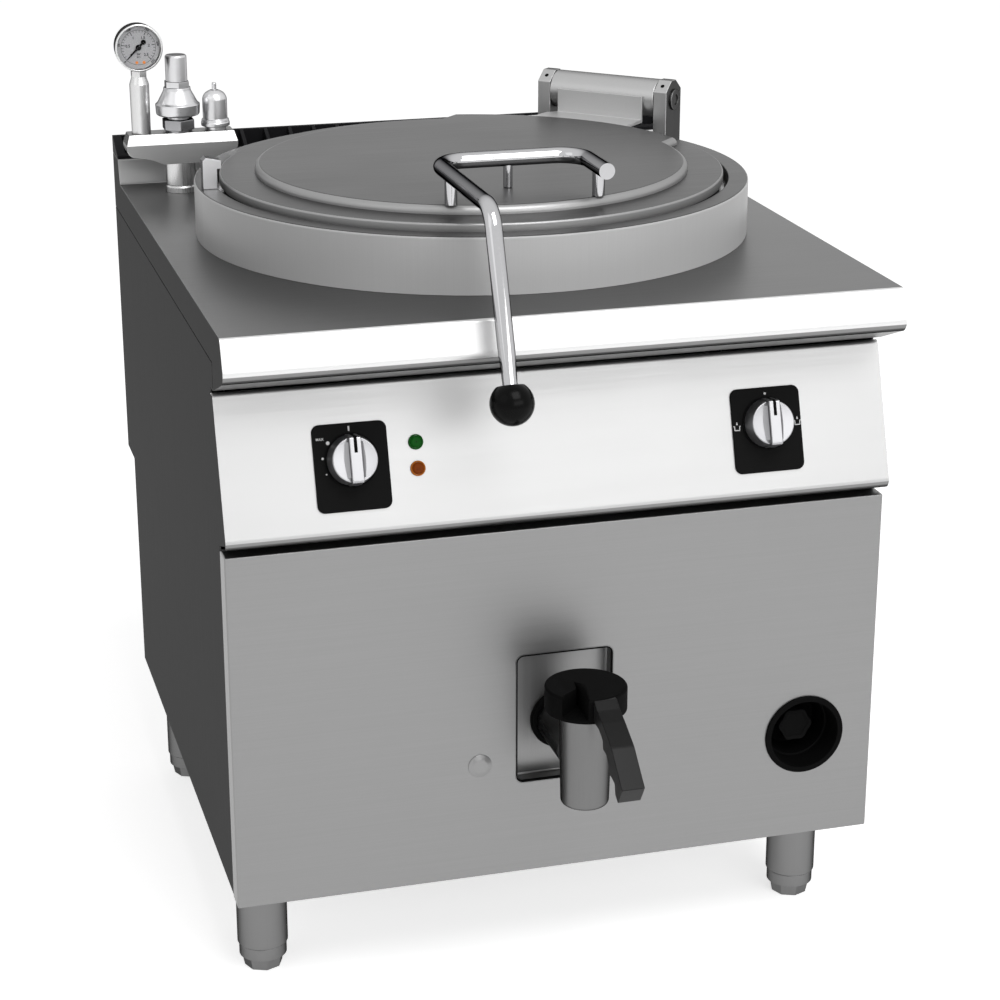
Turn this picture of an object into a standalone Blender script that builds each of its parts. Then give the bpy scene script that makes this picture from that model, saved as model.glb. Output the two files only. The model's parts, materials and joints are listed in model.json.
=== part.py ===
# Free-standing indirect boiling pan of the 800 mm module, in metres, +Z up, front towards -Y.
# The origin is on the floor under the middle of the object's box.
import bpy
import bmesh
from math import acos, ceil, cos, floor, pi, radians, sin, sqrt, tan
from mathutils import Vector

# Clearances and sheet
GAP = 0.0003              # between pieces that seat on or turn in each other
OVERRUN = 0.004           # how far a cutter reaches past what it cuts
SHEET = 0.0015            # panels
TOP_SHEET = 0.002         # worktop, vessel, jacket and collar
RETURN_RADIUS = 0.002     # small bend of a folded sheet

# Cabinet
WIDTH = 0.800
DEPTH = 0.870
TOP_HEIGHT = 0.850
SKIRT_HEIGHT = 0.807      # lower edge of the worktop's turned-down sides
BODY_BOTTOM = 0.150
BODY_FRONT = -0.367       # front edge of the side panels
STEP_HEIGHT = 0.457       # the lower back stands forward of the upper back
STEP_DEPTH = 0.062

# Worktop
NOSE_RAKE = radians(21.6)  # lean of the bullnose's front face
NOSE_RADIUS = 0.006
NOSE_HEIGHT = 0.8088       # centre of the bullnose's lower bend
NOSE_UNDER = 0.080         # length of the return under the bullnose
NOSE_TOP_RADIUS = 0.005
RIDGE_TOP = 0.8835         # upstand at the rear
RIDGE_FOOT = 0.375
RIDGE_FRONT = 0.386
RIDGE_RADIUS = 0.002
FLUE_MARGIN = 0.030        # slot under the grille, from the worktop's ends
FLUE_EDGE = 0.008          # and from the ridge's front and rear

# Vent grille
GRILLE_TOP = 0.9075
GRILLE_LIP = 0.004         # height of the front lip
GRILLE_RAIL = 0.008        # depth of the rear rail
GRILLE_SILL = 0.005        # depth of the front rail
GRILLE_PITCH = 0.034
GRILLE_BAR = 0.005
GRILLE_END = 0.010         # least width of an end cap

# Pan: everything round shares this centre
PAN_Y = 0.0154
COLLAR_RADIUS = 0.3493
COLLAR_LAND = 0.0253       # width of the collar's flat top
COLLAR_TOP = 0.9185
COLLAR_ROUND = 0.003
LEDGE_TOP = 0.9017         # carries the vessel's rim
LEDGE_WIDTH = 0.0155
VESSEL_RADIUS = 0.300
VESSEL_DEPTH = 0.418
VESSEL_CORNER = 0.050
RIM_OVERLAP = 0.013        # how far the rim rests on the ledge
HOLE_MARGIN = 0.0045       # worktop hole inside the collar's outer face
JACKET_RADIUS = 0.325
JACKET_TOP = 0.800
JACKET_SPACE = 0.063       # steam space below the vessel
JACKET_CORNER = 0.060

# Facets round the pan, the other large turned pieces, small ones and pins
ROUND_STEPS = 36
VESSEL_STEPS = 24
WIDE_STEPS = 20
SMALL_STEPS = 12
PIN_STEPS = 8

# Lid
LID_RADIUS = 0.3176
LID_SHEET = 0.0015
LID_EDGE = 0.0117          # height of the turned-down edge
LID_TOP = 0.9368           # raised crown
LID_FLANGE_TOP = 0.9267
CROWN_RADIUS = 0.273
CROWN_ROUND = 0.004
PAD_RADIUS = 0.300         # the crown reaches this far towards the hinge
PAD_HALF = 0.170
LINER_TOP = 0.928
LINER_EDGE_TOP = 0.9177
LINER_SHEET = 0.0012
LINER_FLAT = 0.262
LINER_SLOPE = 0.018
GASKET_RADIUS = 0.3085     # middle of the seal on the vessel's rim
GASKET_WIDTH = 0.010

# Hinge, across the rear right corner
HINGE_REACH = 0.385        # from the pan's centre to the hinge axis
HINGE_HEIGHT = 0.958
TUBE_RADIUS = 0.0259
TUBE_WALL = 0.0034
TUBE_HALF = 0.0795
TUBE_END = 0.004
SHAFT_RADIUS = 0.010
HEAD_RADIUS = 0.0144
HEAD_THICK = 0.003
HEAD_RECESS = 0.0015
HEAD_SOCKET = 0.007
BRACKET_THICK = 0.0195
BRACKET_FRONT = 0.3605
BRACKET_DEPTH = 0.0470
BRACKET_TOP = 0.9846
BRACKET_CHAMFER_RUN = 0.0165
BRACKET_CHAMFER_DROP = 0.0137
BRACKET_EDGE = 0.0008
GRUB_RADIUS = 0.0022
GRUB_DEPTH = 0.005
SPRING_WIRE = 0.0018
SPRING_COIL = 0.0140       # mean radius of the coil
SPRING_TURNS = 7
SPRING_POINTS = 7          # to a turn
ARM_PLATE = 0.004
ARM_TOP = 0.9635
ARM_HALF = 0.065
ARM_FOOT_THICK = 0.0045
ARM_STEPS = 12
FLARE_WIDTHS = (0.003, 0.0115, 0.014, 0.023)         # beyond the arm's side, from the plate to the pad
FLARE_SHARES = (0.07, 0.22, 0.64, 0.78)              # of the foot's length

# Lid handle
HANDLE_X = -0.0025
HANDLE_HALF = 0.090
HANDLE_RADIUS = 0.00975
HANDLE_HEIGHT = 0.9725
HANDLE_REAR = -0.161
HANDLE_BEND = 0.035
HANDLE_FREE_END = -0.267
HANDLE_CORNER = -0.410
HANDLE_DROP_ANGLE = radians(22.4)
HANDLE_DROP = 0.2163       # from the corner to the ball's centre
HANDLE_TAPER = 0.060       # the last stretch narrows
HANDLE_TIP_RADIUS = 0.0075
POST_RADIUS = 0.0073
POST_MIDDLE_RADIUS = 0.0055
POST_Y = -0.235
BALL_RADIUS = 0.025
BALL_FLAT = 0.0196         # height of the flat collar above the ball's centre
BALL_BORE = 0.020          # depth of the bore for the handle

# Water spout on the collar
SPOUT_OUTER = -0.3430
SPOUT_INNER = -0.3257
SPOUT_NOSE = -0.3205
SPOUT_DEPTH = 0.018
SPOUT_TOP = 0.9575
SPOUT_NOSE_TOP = 0.9535
SPOUT_NOSE_LOW = 0.9434
SPOUT_SLOPE = 0.004
SPOUT_BORE = 0.004
SPOUT_WALL = 0.0015

# Safety group at the rear left
GROUP_Y = 0.3195
COLUMN_X = -0.324
COLUMN_RADIUS = 0.0197
COLUMN_WALL = 0.003
COLUMN_FOOT = 0.0207
COLUMN_FOOT_HEIGHT = 0.007
BLOCK_LEFT = -0.397
BLOCK_RIGHT = -0.248
BLOCK_HALF_DEPTH = 0.020
BLOCK_TOP = 0.931
BLOCK_SHOULDER = 0.0135    # height of the tapered top
BLOCK_TAPER = 0.004
BLOCK_LOW = 0.8905
BLOCK_LIFT = 0.0115        # how much the ends rise
BLOCK_KEEL = 0.024         # half width of the low middle
BLOCK_CURVE_SHARES = (0.0, 0.08, 0.30, 0.55, 0.80, 1.0)
BLOCK_RISE_SHARES = (0.0, 0.06, 0.50, 0.80, 0.95, 1.0)

GAUGE_X = -0.3745
GAUGE_HEIGHT = 1.0465
GAUGE_RADIUS = 0.0315
GAUGE_FRONT = 0.302
GAUGE_DEPTH = 0.028
GAUGE_RIM = 0.0027
GAUGE_POCKET = 0.0085
GAUGE_ROUND = 0.003
DIAL_THICK = 0.001
LENS_THICK = 0.0015
LENS_INSET = 0.0015
NEEDLE_THICK = 0.0008
NEEDLE_LENGTH = 0.021
NEEDLE_TAIL = 0.008
NEEDLE_HALF = 0.0013
NEEDLE_HUB = 0.0026
NEEDLE_PIN = 0.0012
NEEDLE_ANGLE = radians(135)  # at rest, anticlockwise from upright
NUT_HEIGHT = 0.0080
NUT_RADIUS = 0.0112
STEM_NECK = 0.0097
STEM_SHOULDER = 0.013
STEM_FOOT = 0.0126
STEM_SHOULDER_DROP = 0.010

VALVE_X = -0.3245
VALVE_NUT_RADIUS = 0.0230
VALVE_NUT_TOP = 0.948
VALVE_NECK = 0.0145
VALVE_BAND = 0.02975
VALVE_BAND_LOW = 0.953
VALVE_BAND_TOP = 0.969
VALVE_CONE = 0.0179
VALVE_CONE_TOP = 0.9905
VALVE_HEX_RADIUS = 0.0176
VALVE_HEX_TOP = 0.9985
VALVE_PIN = 0.004
VALVE_PIN_HEIGHT = 0.012
VALVE_CAP_RADIUS = 0.01445
VALVE_CAP_TOP = 1.0335
VALVE_ROUND = 0.003

BREAKER_X = -0.2745
BREAKER_FOOT = 0.014
BREAKER_FOOT_HEIGHT = 0.005
BREAKER_COLLAR = 0.01925
BREAKER_COLLAR_TOP = 0.945
BREAKER_RADIUS = 0.0165
BREAKER_SIDE_TOP = 0.970
BREAKER_TOP = 0.984
BREAKER_PIN = 0.003
BREAKER_PIN_TOP = 0.994
BREAKER_BORE_DEPTH = 0.025

# Control panel
PANEL_RAKE = radians(18.48)
PANEL_LENGTH = 0.1739
PANEL_SETBACK = 0.0055     # shadow gap behind the return of the bullnose
PANEL_DROP = 0.0053
PANEL_RADIUS = 0.006
PANEL_TOP_RETURN = 0.012
PANEL_LOW_RETURN = 0.035
CONTROL_X = 0.250
BEZEL_WIDTH = 0.0862
BEZEL_HEIGHT = 0.100
BEZEL_RISE = 0.078         # bezel centre, up the slope
BEZEL_THICK = 0.003
BEZEL_RADIUS = 0.009
BEZEL_DISH = 0.0012        # depth of the round dish under the knob
BEZEL_MARGIN = 0.002       # of the dish round the knob
KNOB_RISE = 0.0858
KNOB_BASE = 0.029
KNOB_FACE_RADIUS = 0.0268
KNOB_FACE = 0.022          # height of the face over the panel
KNOB_GRIP = 0.031          # height of the grip bar
KNOB_GRIP_HALF = 0.0058
KNOB_GRIP_SLOPE = 0.004
KNOB_ROUND = 0.0015
KNOB_GROOVE = 0.0014       # half width of the pointer's groove
KNOB_GROOVE_DEPTH = 0.0008
KNOB_SPINDLE = 0.004
KNOB_SPINDLE_DEPTH = 0.018
KNOB_SHADOW = 0.0005       # running gap over the bezel's dish
PILOT_X = -0.174
PILOT_GREEN_RISE = 0.0998
PILOT_ORANGE_RISE = 0.0697
PILOT_RADIUS = 0.0088
PILOT_RIM = 0.002
PILOT_DOME = 0.002
PILOT_SHANK = 0.0070
PILOT_SHANK_DEPTH = 0.022
REGULATOR_SIDE = 0.045
REGULATOR_DEPTH = 0.036
WATER_BODY_RADIUS = 0.017
WATER_BODY_DEPTH = 0.050
WATER_PORT_RADIUS = 0.009
WATER_PORT_LENGTH = 0.034

# Front panel
FRONT_Y = -0.3958
FRONT_TOP = 0.5875
FRONT_BOTTOM = 0.145
DRAIN_X = 0.001
RECESS_WIDTH = 0.120
RECESS_HEIGHT = 0.1655
RECESS_BOTTOM = 0.264
RECESS_DEPTH = 0.0227
RECESS_RADIUS = 0.009
PLUG_X = -0.1036
PLUG_HEIGHT = 0.2928
PLUG_RADIUS = 0.0145
PLUG_DOME = 0.0035
PLUG_SHANK = 0.006
PLUG_SHANK_DEPTH = 0.008
CUP_X = 0.311
CUP_HEIGHT = 0.282
CUP_RADIUS = 0.0509
CUP_MOUTH = 0.0437
CUP_LIP = 0.003
CUP_WALL = 0.002
CUP_DEPTH = 0.062
CUP_FLOOR = 0.036
CUP_STEM = 0.010
WHEEL_RADIUS = 0.0225
WHEEL_THICK = 0.016
WHEEL_STANDOFF = 0.016
WHEEL_BORE = 0.004
WHEEL_LOBES = 6
JACKET_VALVE_LENGTH = 0.040

# Drain valve
VALVE_Y = -0.478
SPIGOT_HEIGHT = 0.3335     # axis of the horizontal pipe
SPIGOT_RADIUS = 0.029
SPIGOT_BORE = 0.021
SPIGOT_REAR = -0.350
FLANGE_RADIUS = 0.036
FLANGE_THICK = 0.008
BARREL_TOP = 0.3917
BARREL_BOTTOM = 0.2716
BARREL_RADIUS = 0.0315
BARREL_FOOT = 0.0285
BARREL_BORE = 0.024
BARREL_ROUND = 0.004
BARREL_CROWN = 0.0067
PLUG_STEM = 0.008
PLUG_TOP_CLEAR = 0.0006
PLUG_LOW = 0.305
PLUG_PORT = 0.016
CAP_RADIUS = 0.0481
CAP_TOP = 0.4213
CAP_ROUND = 0.003
CAP_NOTCH_DEPTH = 0.024
NOTCH_SHARES = ((-0.24, 0.20), (-0.24, -1.10), (-1.05, -0.85), (-0.30, -0.18))  # of the cap's radius
LEVER_X = 0.0078           # off the drain's axis
LEVER_WIDTH = 0.0272
LEVER_REACH = 0.152        # from the drain's axis
LEVER_ROOT = 0.042
LEVER_TOP_SHARES = ((0.0, 0.0), (0.06, 0.0), (0.17, 0.09), (0.34, 0.18), (0.64, 0.37), (0.81, 0.57), (1.0, 0.79))
LEVER_LOW_SHARES = ((0.87, 1.06), (0.78, 0.98), (0.76, 0.84), (0.67, 0.81), (0.57, 0.80), (0.545, 0.68),
                    (0.48, 0.57), (0.37, 0.555), (0.35, 0.43), (0.30, 0.39), (0.22, 0.34), (0.0, 0.32))
LEVER_DROP = 0.0810        # height over which the lever's outline is drawn
LEVER_EDGE = 0.0012
OUTLET_Y = -0.202
OUTLET_RADIUS = 0.026
OUTLET_WALL = 0.002
OUTLET_BEND = 0.045
STRAINER_RADIUS = 0.032
STRAINER_RISE = 0.006
STRAINER_SHEET = 0.0015
STRAINER_NECK = 0.018
STRAINER_HOLE = 0.0026
STRAINER_RING = 0.0105
STRAINER_HOLES = 6

# Heating elements
HEATER_OFFSET = 0.090      # behind the pan's centre
HEATER_FLANGE = 0.052
HEATER_FLANGE_THICK = 0.007
HEATER_HOLE = 0.040
HEATER_ROD = 0.0042
HEATER_LIFT = 0.034        # of the rods over the jacket's floor
HEATER_REACH = 0.165
HEATER_START = 0.020
HEATER_HALF = 0.010
HEATER_COUNT = 3

# Base, legs and feet
TRAY_RIM = 0.030
LEG_X = 0.3514
LEG_FRONT = -0.275
LEG_REAR = 0.291
LEG_RADIUS = 0.0314
LEG_WALL = 0.002
LEG_BOTTOM = 0.033
LEG_BUSH = 0.009
FOOT_COLLAR = 0.0295
FOOT_SOLE_HEIGHT = 0.016
FOOT_SOLE_TOP = 0.0268
FOOT_SOLE = 0.0235
FOOT_STEM = 0.012
FOOT_STEM_TOP = 0.110
FOOT_ROUND = 0.002

# Connections on the back
INLET_HEIGHT = 0.300
GLAND_X = -0.250
WATER_X = -0.150
GLAND_RADIUS = 0.016
GLAND_LENGTH = 0.026
GLAND_BORE = 0.008
GLAND_SHANK = 0.010
GLAND_NUT = 0.006
GLAND_BARREL_SHARE = 0.8

LOOKS = {
    'satin steel': ((0.60, 0.60, 0.61, 1.0), 0.38, 1.0),
    'dark steel': ((0.42, 0.42, 0.43, 1.0), 0.42, 1.0),
    'bright steel': ((0.86, 0.86, 0.88, 1.0), 0.30, 1.0),
    'polished steel': ((0.90, 0.90, 0.92, 1.0), 0.08, 1.0),
    'cast steel': ((0.55, 0.55, 0.56, 1.0), 0.50, 1.0),
    'spring steel': ((0.30, 0.30, 0.31, 1.0), 0.40, 1.0),
    'black plastic': ((0.012, 0.012, 0.013, 1.0), 0.45, 0.0),
    'black enamel': ((0.020, 0.020, 0.021, 1.0), 0.55, 0.0),
    'silver plastic': ((0.72, 0.72, 0.74, 1.0), 0.35, 0.6),
    'seal rubber': ((0.05, 0.05, 0.05, 1.0), 0.70, 0.0),
    'green lens': ((0.02, 0.24, 0.04, 1.0), 0.25, 0.0),
    'orange lens': ((0.55, 0.14, 0.01, 1.0), 0.25, 0.0),
    'white dial': ((0.85, 0.85, 0.84, 1.0), 0.50, 0.0),
    'clear lens': ((0.90, 0.93, 0.95, 1.0), 0.05, 0.0),
    'brass': ((0.72, 0.55, 0.25, 1.0), 0.35, 1.0),
}

HALF_WIDTH = WIDTH / 2
REAR = DEPTH / 2
REAR_LOW = REAR - STEP_DEPTH
CABINET_Y = (LEVER_REACH - VALVE_Y - REAR) / 2    # centres the whole object's box

# Directions in the (y, z) plane: inwards across a raked face, and up along it
NOSE_IN = Vector((cos(NOSE_RAKE), -sin(NOSE_RAKE)))
NOSE_UP = Vector((sin(NOSE_RAKE), cos(NOSE_RAKE)))
NOSE_CORNER = Vector((-REAR + NOSE_RADIUS, NOSE_HEIGHT)) - NOSE_RADIUS * (NOSE_IN + NOSE_UP)
NOSE_END = NOSE_CORNER + NOSE_UNDER * NOSE_IN
PANEL_IN = Vector((cos(PANEL_RAKE), -sin(PANEL_RAKE)))
PANEL_UP = Vector((sin(PANEL_RAKE), cos(PANEL_RAKE)))
PANEL_TOP = NOSE_END + Vector((PANEL_SETBACK, -PANEL_DROP))
PANEL_FOOT = PANEL_TOP - PANEL_LENGTH * PANEL_UP

NUT_TOP = GAUGE_HEIGHT - GAUGE_RADIUS - GAP

RIM_TOP = LEDGE_TOP + GAP + TOP_SHEET
VESSEL_FLOOR = RIM_TOP - VESSEL_DEPTH             # inner face
COLLAR_INNER = COLLAR_RADIUS - COLLAR_LAND
RIM_RADIUS = COLLAR_INNER - LEDGE_WIDTH + RIM_OVERLAP
JACKET_BOTTOM = VESSEL_FLOOR - TOP_SHEET - JACKET_SPACE

parts = bpy.data.collections.new('boiling_pan')
cutters = bpy.data.collections.new('cutters')


def clear_scene():
    for item in list(bpy.data.objects):
        bpy.data.objects.remove(item, do_unlink=True)
    for group in (parts, cutters):
        bpy.context.scene.collection.children.link(group)


def empty(name, parent=None, location=(0, 0, 0), rotation=(0, 0, 0)):
    frame = bpy.data.objects.new(name, None)
    parts.objects.link(frame)
    frame.parent = parent
    frame.location = location
    frame.rotation_euler = rotation
    return frame


def finish_of(name, look):
    colour, roughness, metallic = LOOKS[look]
    finish = bpy.data.materials.new(name + '_finish')
    finish.use_nodes = True
    shader = finish.node_tree.nodes['Principled BSDF']
    shader.inputs['Base Color'].default_value = colour
    shader.inputs['Roughness'].default_value = roughness
    shader.inputs['Metallic'].default_value = metallic
    return finish


def add(name, data, parent, look=None, location=(0, 0, 0), rotation=(0, 0, 0)):
    # With a look it is a part, without one a hidden cutter.
    item = bpy.data.objects.new(name, data)
    item.parent = parent
    item.location = location
    item.rotation_euler = rotation
    if look:
        parts.objects.link(item)
        data.materials.append(finish_of(name, look))
    else:
        cutters.objects.link(item)
        item.hide_render = True
        item.display_type = 'WIRE'
    return item


def to_mesh(name, shape):
    data = bpy.data.meshes.new(name)
    shape.to_mesh(data)
    shape.free()
    return data


def fillet(points, radius, segments=3, closed=True):
    # Rounds the corners of a flat or spatial outline; radius is one value or one for each corner.
    points = [Vector(point) for point in points]
    count = len(points)
    radii = list(radius) if isinstance(radius, (list, tuple)) else [radius] * count
    path = []
    for i, corner in enumerate(points):
        at_end = not closed and i in (0, count - 1)
        if at_end or radii[i] == 0:
            path.append(corner)
            continue
        back = (points[i - 1] - corner).normalized()
        ahead = (points[(i + 1) % count] - corner).normalized()
        half = back.angle(ahead) / 2
        centre = corner + (back + ahead).normalized() * (radii[i] / sin(half))
        first = corner + back * (radii[i] / tan(half)) - centre
        last = corner + ahead * (radii[i] / tan(half)) - centre
        turn = first.angle(last)
        for k in range(segments + 1):
            part = k / segments
            step = first * (sin((1 - part) * turn) / sin(turn)) + last * (sin(part * turn) / sin(turn))
            path.append(centre + step)
    return path


def arc(radius, start, end, steps, centre=(0, 0)):
    turn = (end - start) / steps
    return [Vector((centre[0] + radius * cos(start + turn * i), centre[1] + radius * sin(start + turn * i)))
            for i in range(steps + 1)]


def oriented(point, axis, along):
    # A flat point set across an axis, at a place along it.
    if axis == 'X':
        return (along, point[0], point[1])
    if axis == 'Y':
        return (point[0], along, point[1])
    return (point[0], point[1], along)


def box_shape(low, high):
    shape = bmesh.new()
    bmesh.ops.create_cube(shape, size=1)
    size = [high[i] - low[i] for i in range(3)]
    middle = [(high[i] + low[i]) / 2 for i in range(3)]
    bmesh.ops.scale(shape, vec=size, verts=shape.verts)
    bmesh.ops.translate(shape, vec=middle, verts=shape.verts)
    return shape


def box(name, low, high):
    return to_mesh(name, box_shape(low, high))


def prism_shape(outline, axis, low, high):
    shape = bmesh.new()
    base = shape.faces.new([shape.verts.new(oriented(point, axis, low)) for point in outline])
    grown = bmesh.ops.extrude_face_region(shape, geom=[base])
    moved = [item for item in grown['geom'] if isinstance(item, bmesh.types.BMVert)]
    bmesh.ops.translate(shape, vec=oriented((0, 0), axis, high - low), verts=moved)
    bmesh.ops.recalc_face_normals(shape, faces=shape.faces)
    return shape


def prism(name, outline, axis, low, high):
    return to_mesh(name, prism_shape(outline, axis, low, high))


def cylinder_shape(radius, low, high, sides=SMALL_STEPS, top_radius=None):
    shape = bmesh.new()
    bmesh.ops.create_cone(shape, cap_ends=True, segments=sides, radius1=radius,
                          radius2=radius if top_radius is None else top_radius, depth=high - low)
    bmesh.ops.translate(shape, vec=(0, 0, (high + low) / 2), verts=shape.verts)
    return shape


def cylinder(name, radius, low, high, sides=SMALL_STEPS, top_radius=None):
    return to_mesh(name, cylinder_shape(radius, low, high, sides, top_radius))


def merged(name, shapes):
    # Several loose shapes in one mesh.
    whole = bmesh.new()
    for shape in shapes:
        data = to_mesh(name, shape)
        whole.from_mesh(data)
        bpy.data.meshes.remove(data)
    return to_mesh(name, whole)


def strip(name, profile, half_length, facing):
    # A bent sheet's outer face: a (y, z) profile carried along X, with its normals towards facing.
    shape = bmesh.new()
    verts = [shape.verts.new((-half_length, point[0], point[1])) for point in profile]
    edges = [shape.edges.new(pair) for pair in zip(verts, verts[1:])]
    grown = bmesh.ops.extrude_edge_only(shape, edges=edges)
    moved = [item for item in grown['geom'] if isinstance(item, bmesh.types.BMVert)]
    bmesh.ops.translate(shape, vec=(half_length * 2, 0, 0), verts=moved)
    bmesh.ops.recalc_face_normals(shape, faces=shape.faces)
    shape.normal_update()
    widest = max(shape.faces, key=lambda face: abs(face.normal.dot(Vector(facing))))
    if widest.normal.dot(Vector(facing)) < 0:
        bmesh.ops.reverse_faces(shape, faces=shape.faces)
    return to_mesh(name, shape)


def open_shell(name, shape, is_open):
    # A closed shape without the faces that is_open picks by their middle.
    doomed = [face for face in shape.faces if is_open(face.calc_center_median())]
    bmesh.ops.delete(shape, geom=doomed, context='FACES')
    return to_mesh(name, shape)


def clear_bore(radius, sides):
    # A faceted bore's radius at its corners, so that its flats clear a round piece.
    return (radius + GAP) / cos(pi / sides)


def solidify(item, thickness):
    wall = item.modifiers.new('wall', 'SOLIDIFY')
    wall.thickness = thickness
    wall.offset = -1
    wall.use_even_offset = True
    return item


def soften(item, width, segments=1, angle=radians(40)):
    edge = item.modifiers.new('edge', 'BEVEL')
    edge.width = width
    edge.segments = segments
    edge.limit_method = 'ANGLE'
    edge.angle_limit = angle
    return item


def combine(item, tool, operation):
    step = item.modifiers.new(operation.lower(), 'BOOLEAN')
    step.operation = operation
    step.solver = 'EXACT'
    step.object = tool
    return item


def cut(item, tool):
    return combine(item, tool, 'DIFFERENCE')


def join(item, tool):
    return combine(item, tool, 'UNION')


def turned(name, points, steps, parent, look=None, location=(0, 0, 0), rotation=(0, 0, 0), ring=False):
    # A (radius, height) profile turned about the local Z axis; a ring's profile closes on itself.
    shape = bmesh.new()
    verts = [shape.verts.new((point[0], 0, point[1])) for point in points]
    for pair in zip(verts, verts[1:]):
        shape.edges.new(pair)
    if ring:
        shape.edges.new((verts[-1], verts[0]))
    item = add(name, to_mesh(name, shape), parent, look, location, rotation)
    screw = item.modifiers.new('turn', 'SCREW')
    screw.angle = 2 * pi
    screw.steps = steps
    screw.render_steps = steps
    screw.use_merge_vertices = True
    screw.merge_threshold = GAP / 10
    return item


def wire_data(name, points, radius, sides_level=2, radii=None, caps=True):
    data = bpy.data.curves.new(name, 'CURVE')
    data.dimensions = '3D'
    data.bevel_depth = radius
    data.bevel_resolution = sides_level
    data.use_fill_caps = caps
    spline = data.splines.new('POLY')
    spline.points.add(len(points) - 1)
    for i, point in enumerate(points):
        spline.points[i].co = (*point, 1)
        spline.points[i].radius = radii[i] if radii else 1
    return data


def meshed(item):
    # The curve's tube as a mesh object with welded caps, for cuts and walls.
    bpy.context.view_layer.update()
    graph = bpy.context.evaluated_depsgraph_get()
    data = bpy.data.meshes.new_from_object(item.evaluated_get(graph))
    shape = bmesh.new()
    shape.from_mesh(data)
    bmesh.ops.remove_doubles(shape, verts=shape.verts, dist=GAP / 10)
    bmesh.ops.recalc_face_normals(shape, faces=shape.faces)
    shape.to_mesh(data)
    shape.free()
    solid = bpy.data.objects.new(item.name + '_solid', data)
    for group in item.users_collection:
        group.objects.link(solid)
    solid.hide_render = item.hide_render
    solid.display_type = item.display_type
    solid.matrix_world = item.matrix_world
    name = item.name
    bpy.data.objects.remove(item, do_unlink=True)
    solid.name = name
    return solid


def make_worktop(cabinet):
    half = HALF_WIDTH
    front_top = NOSE_CORNER + NOSE_UP * ((TOP_HEIGHT - NOSE_CORNER.y) / cos(NOSE_RAKE))
    outline = [(REAR, SKIRT_HEIGHT), (REAR, RIDGE_TOP), (RIDGE_FRONT, RIDGE_TOP), (RIDGE_FOOT, TOP_HEIGHT),
               front_top, NOSE_CORNER, NOSE_END, (NOSE_END.x, SKIRT_HEIGHT)]
    radii = [0, RIDGE_RADIUS, RIDGE_RADIUS, RIDGE_RADIUS, NOSE_TOP_RADIUS, NOSE_RADIUS, 0, 0]
    shape = prism_shape(fillet(outline, radii), 'X', -half, half)
    data = open_shell('worktop', shape, lambda middle: abs(middle.z - SKIRT_HEIGHT) < GAP)
    top = solidify(add('worktop', data, cabinet, 'satin steel'), TOP_SHEET)
    low = TOP_HEIGHT - TOP_SHEET - OVERRUN
    cut(top, add('pan_hole', cylinder('pan_hole', COLLAR_RADIUS - HOLE_MARGIN, low, TOP_HEIGHT + OVERRUN,
                                      ROUND_STEPS), cabinet, location=(0, PAN_Y, 0)))
    cut(top, add('steam_hole', cylinder('steam_hole', COLUMN_RADIUS - COLUMN_WALL, low, TOP_HEIGHT + OVERRUN),
                 cabinet, location=(COLUMN_X, GROUP_Y, 0)))
    cut(top, add('flue_slot', box('flue_slot', (FLUE_MARGIN - half, RIDGE_FRONT + FLUE_EDGE, TOP_HEIGHT + OVERRUN),
                                  (half - FLUE_MARGIN, REAR - FLUE_EDGE, RIDGE_TOP + OVERRUN)), cabinet))


def make_grille(cabinet):
    base = RIDGE_TOP + GAP
    outline = [(RIDGE_FRONT, base), (REAR, base), (REAR, GRILLE_TOP), (REAR - GRILLE_RAIL, GRILLE_TOP),
               (RIDGE_FRONT, base + GRILLE_LIP)]
    grille = add('vent_grille', prism('vent_grille', outline, 'X', -HALF_WIDTH, HALF_WIDTH), cabinet, 'black enamel')
    room = WIDTH - 2 * GRILLE_END + GRILLE_BAR
    count = floor(room / GRILLE_PITCH)
    start = -(count * GRILLE_PITCH - GRILLE_BAR) / 2
    windows = []
    for i in range(count):
        left = start + i * GRILLE_PITCH
        windows.append(box_shape((left, RIDGE_FRONT + GRILLE_SILL, base - OVERRUN),
                                 (left + GRILLE_PITCH - GRILLE_BAR, REAR - GRILLE_RAIL, GRILLE_TOP + OVERRUN)))
    cut(grille, add('grille_windows', merged('grille_windows', windows), cabinet))


def make_collar(pan):
    outer, inner = COLLAR_RADIUS, COLLAR_INNER
    base = TOP_HEIGHT + GAP
    ledge = inner - LEDGE_WIDTH
    outline = [(outer, COLLAR_TOP), (outer, base), (outer - TOP_SHEET, base), (outer - TOP_SHEET, COLLAR_TOP - TOP_SHEET),
               (inner + TOP_SHEET, COLLAR_TOP - TOP_SHEET), (inner + TOP_SHEET, LEDGE_TOP - TOP_SHEET),
               (ledge, LEDGE_TOP - TOP_SHEET), (ledge, LEDGE_TOP), (inner, LEDGE_TOP), (inner, COLLAR_TOP)]
    radii = [COLLAR_ROUND] + [0] * 8 + [COLLAR_ROUND / 2]
    collar = turned('collar', fillet(outline, radii, 1), ROUND_STEPS, pan, 'satin steel', ring=True)
    feed = cylinder('water_feed', SPOUT_BORE, COLLAR_TOP - TOP_SHEET - OVERRUN, COLLAR_TOP + OVERRUN, PIN_STEPS)
    cut(collar, add('water_feed', feed, pan, location=((SPOUT_OUTER + SPOUT_INNER) / 2, 0, 0)))


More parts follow.
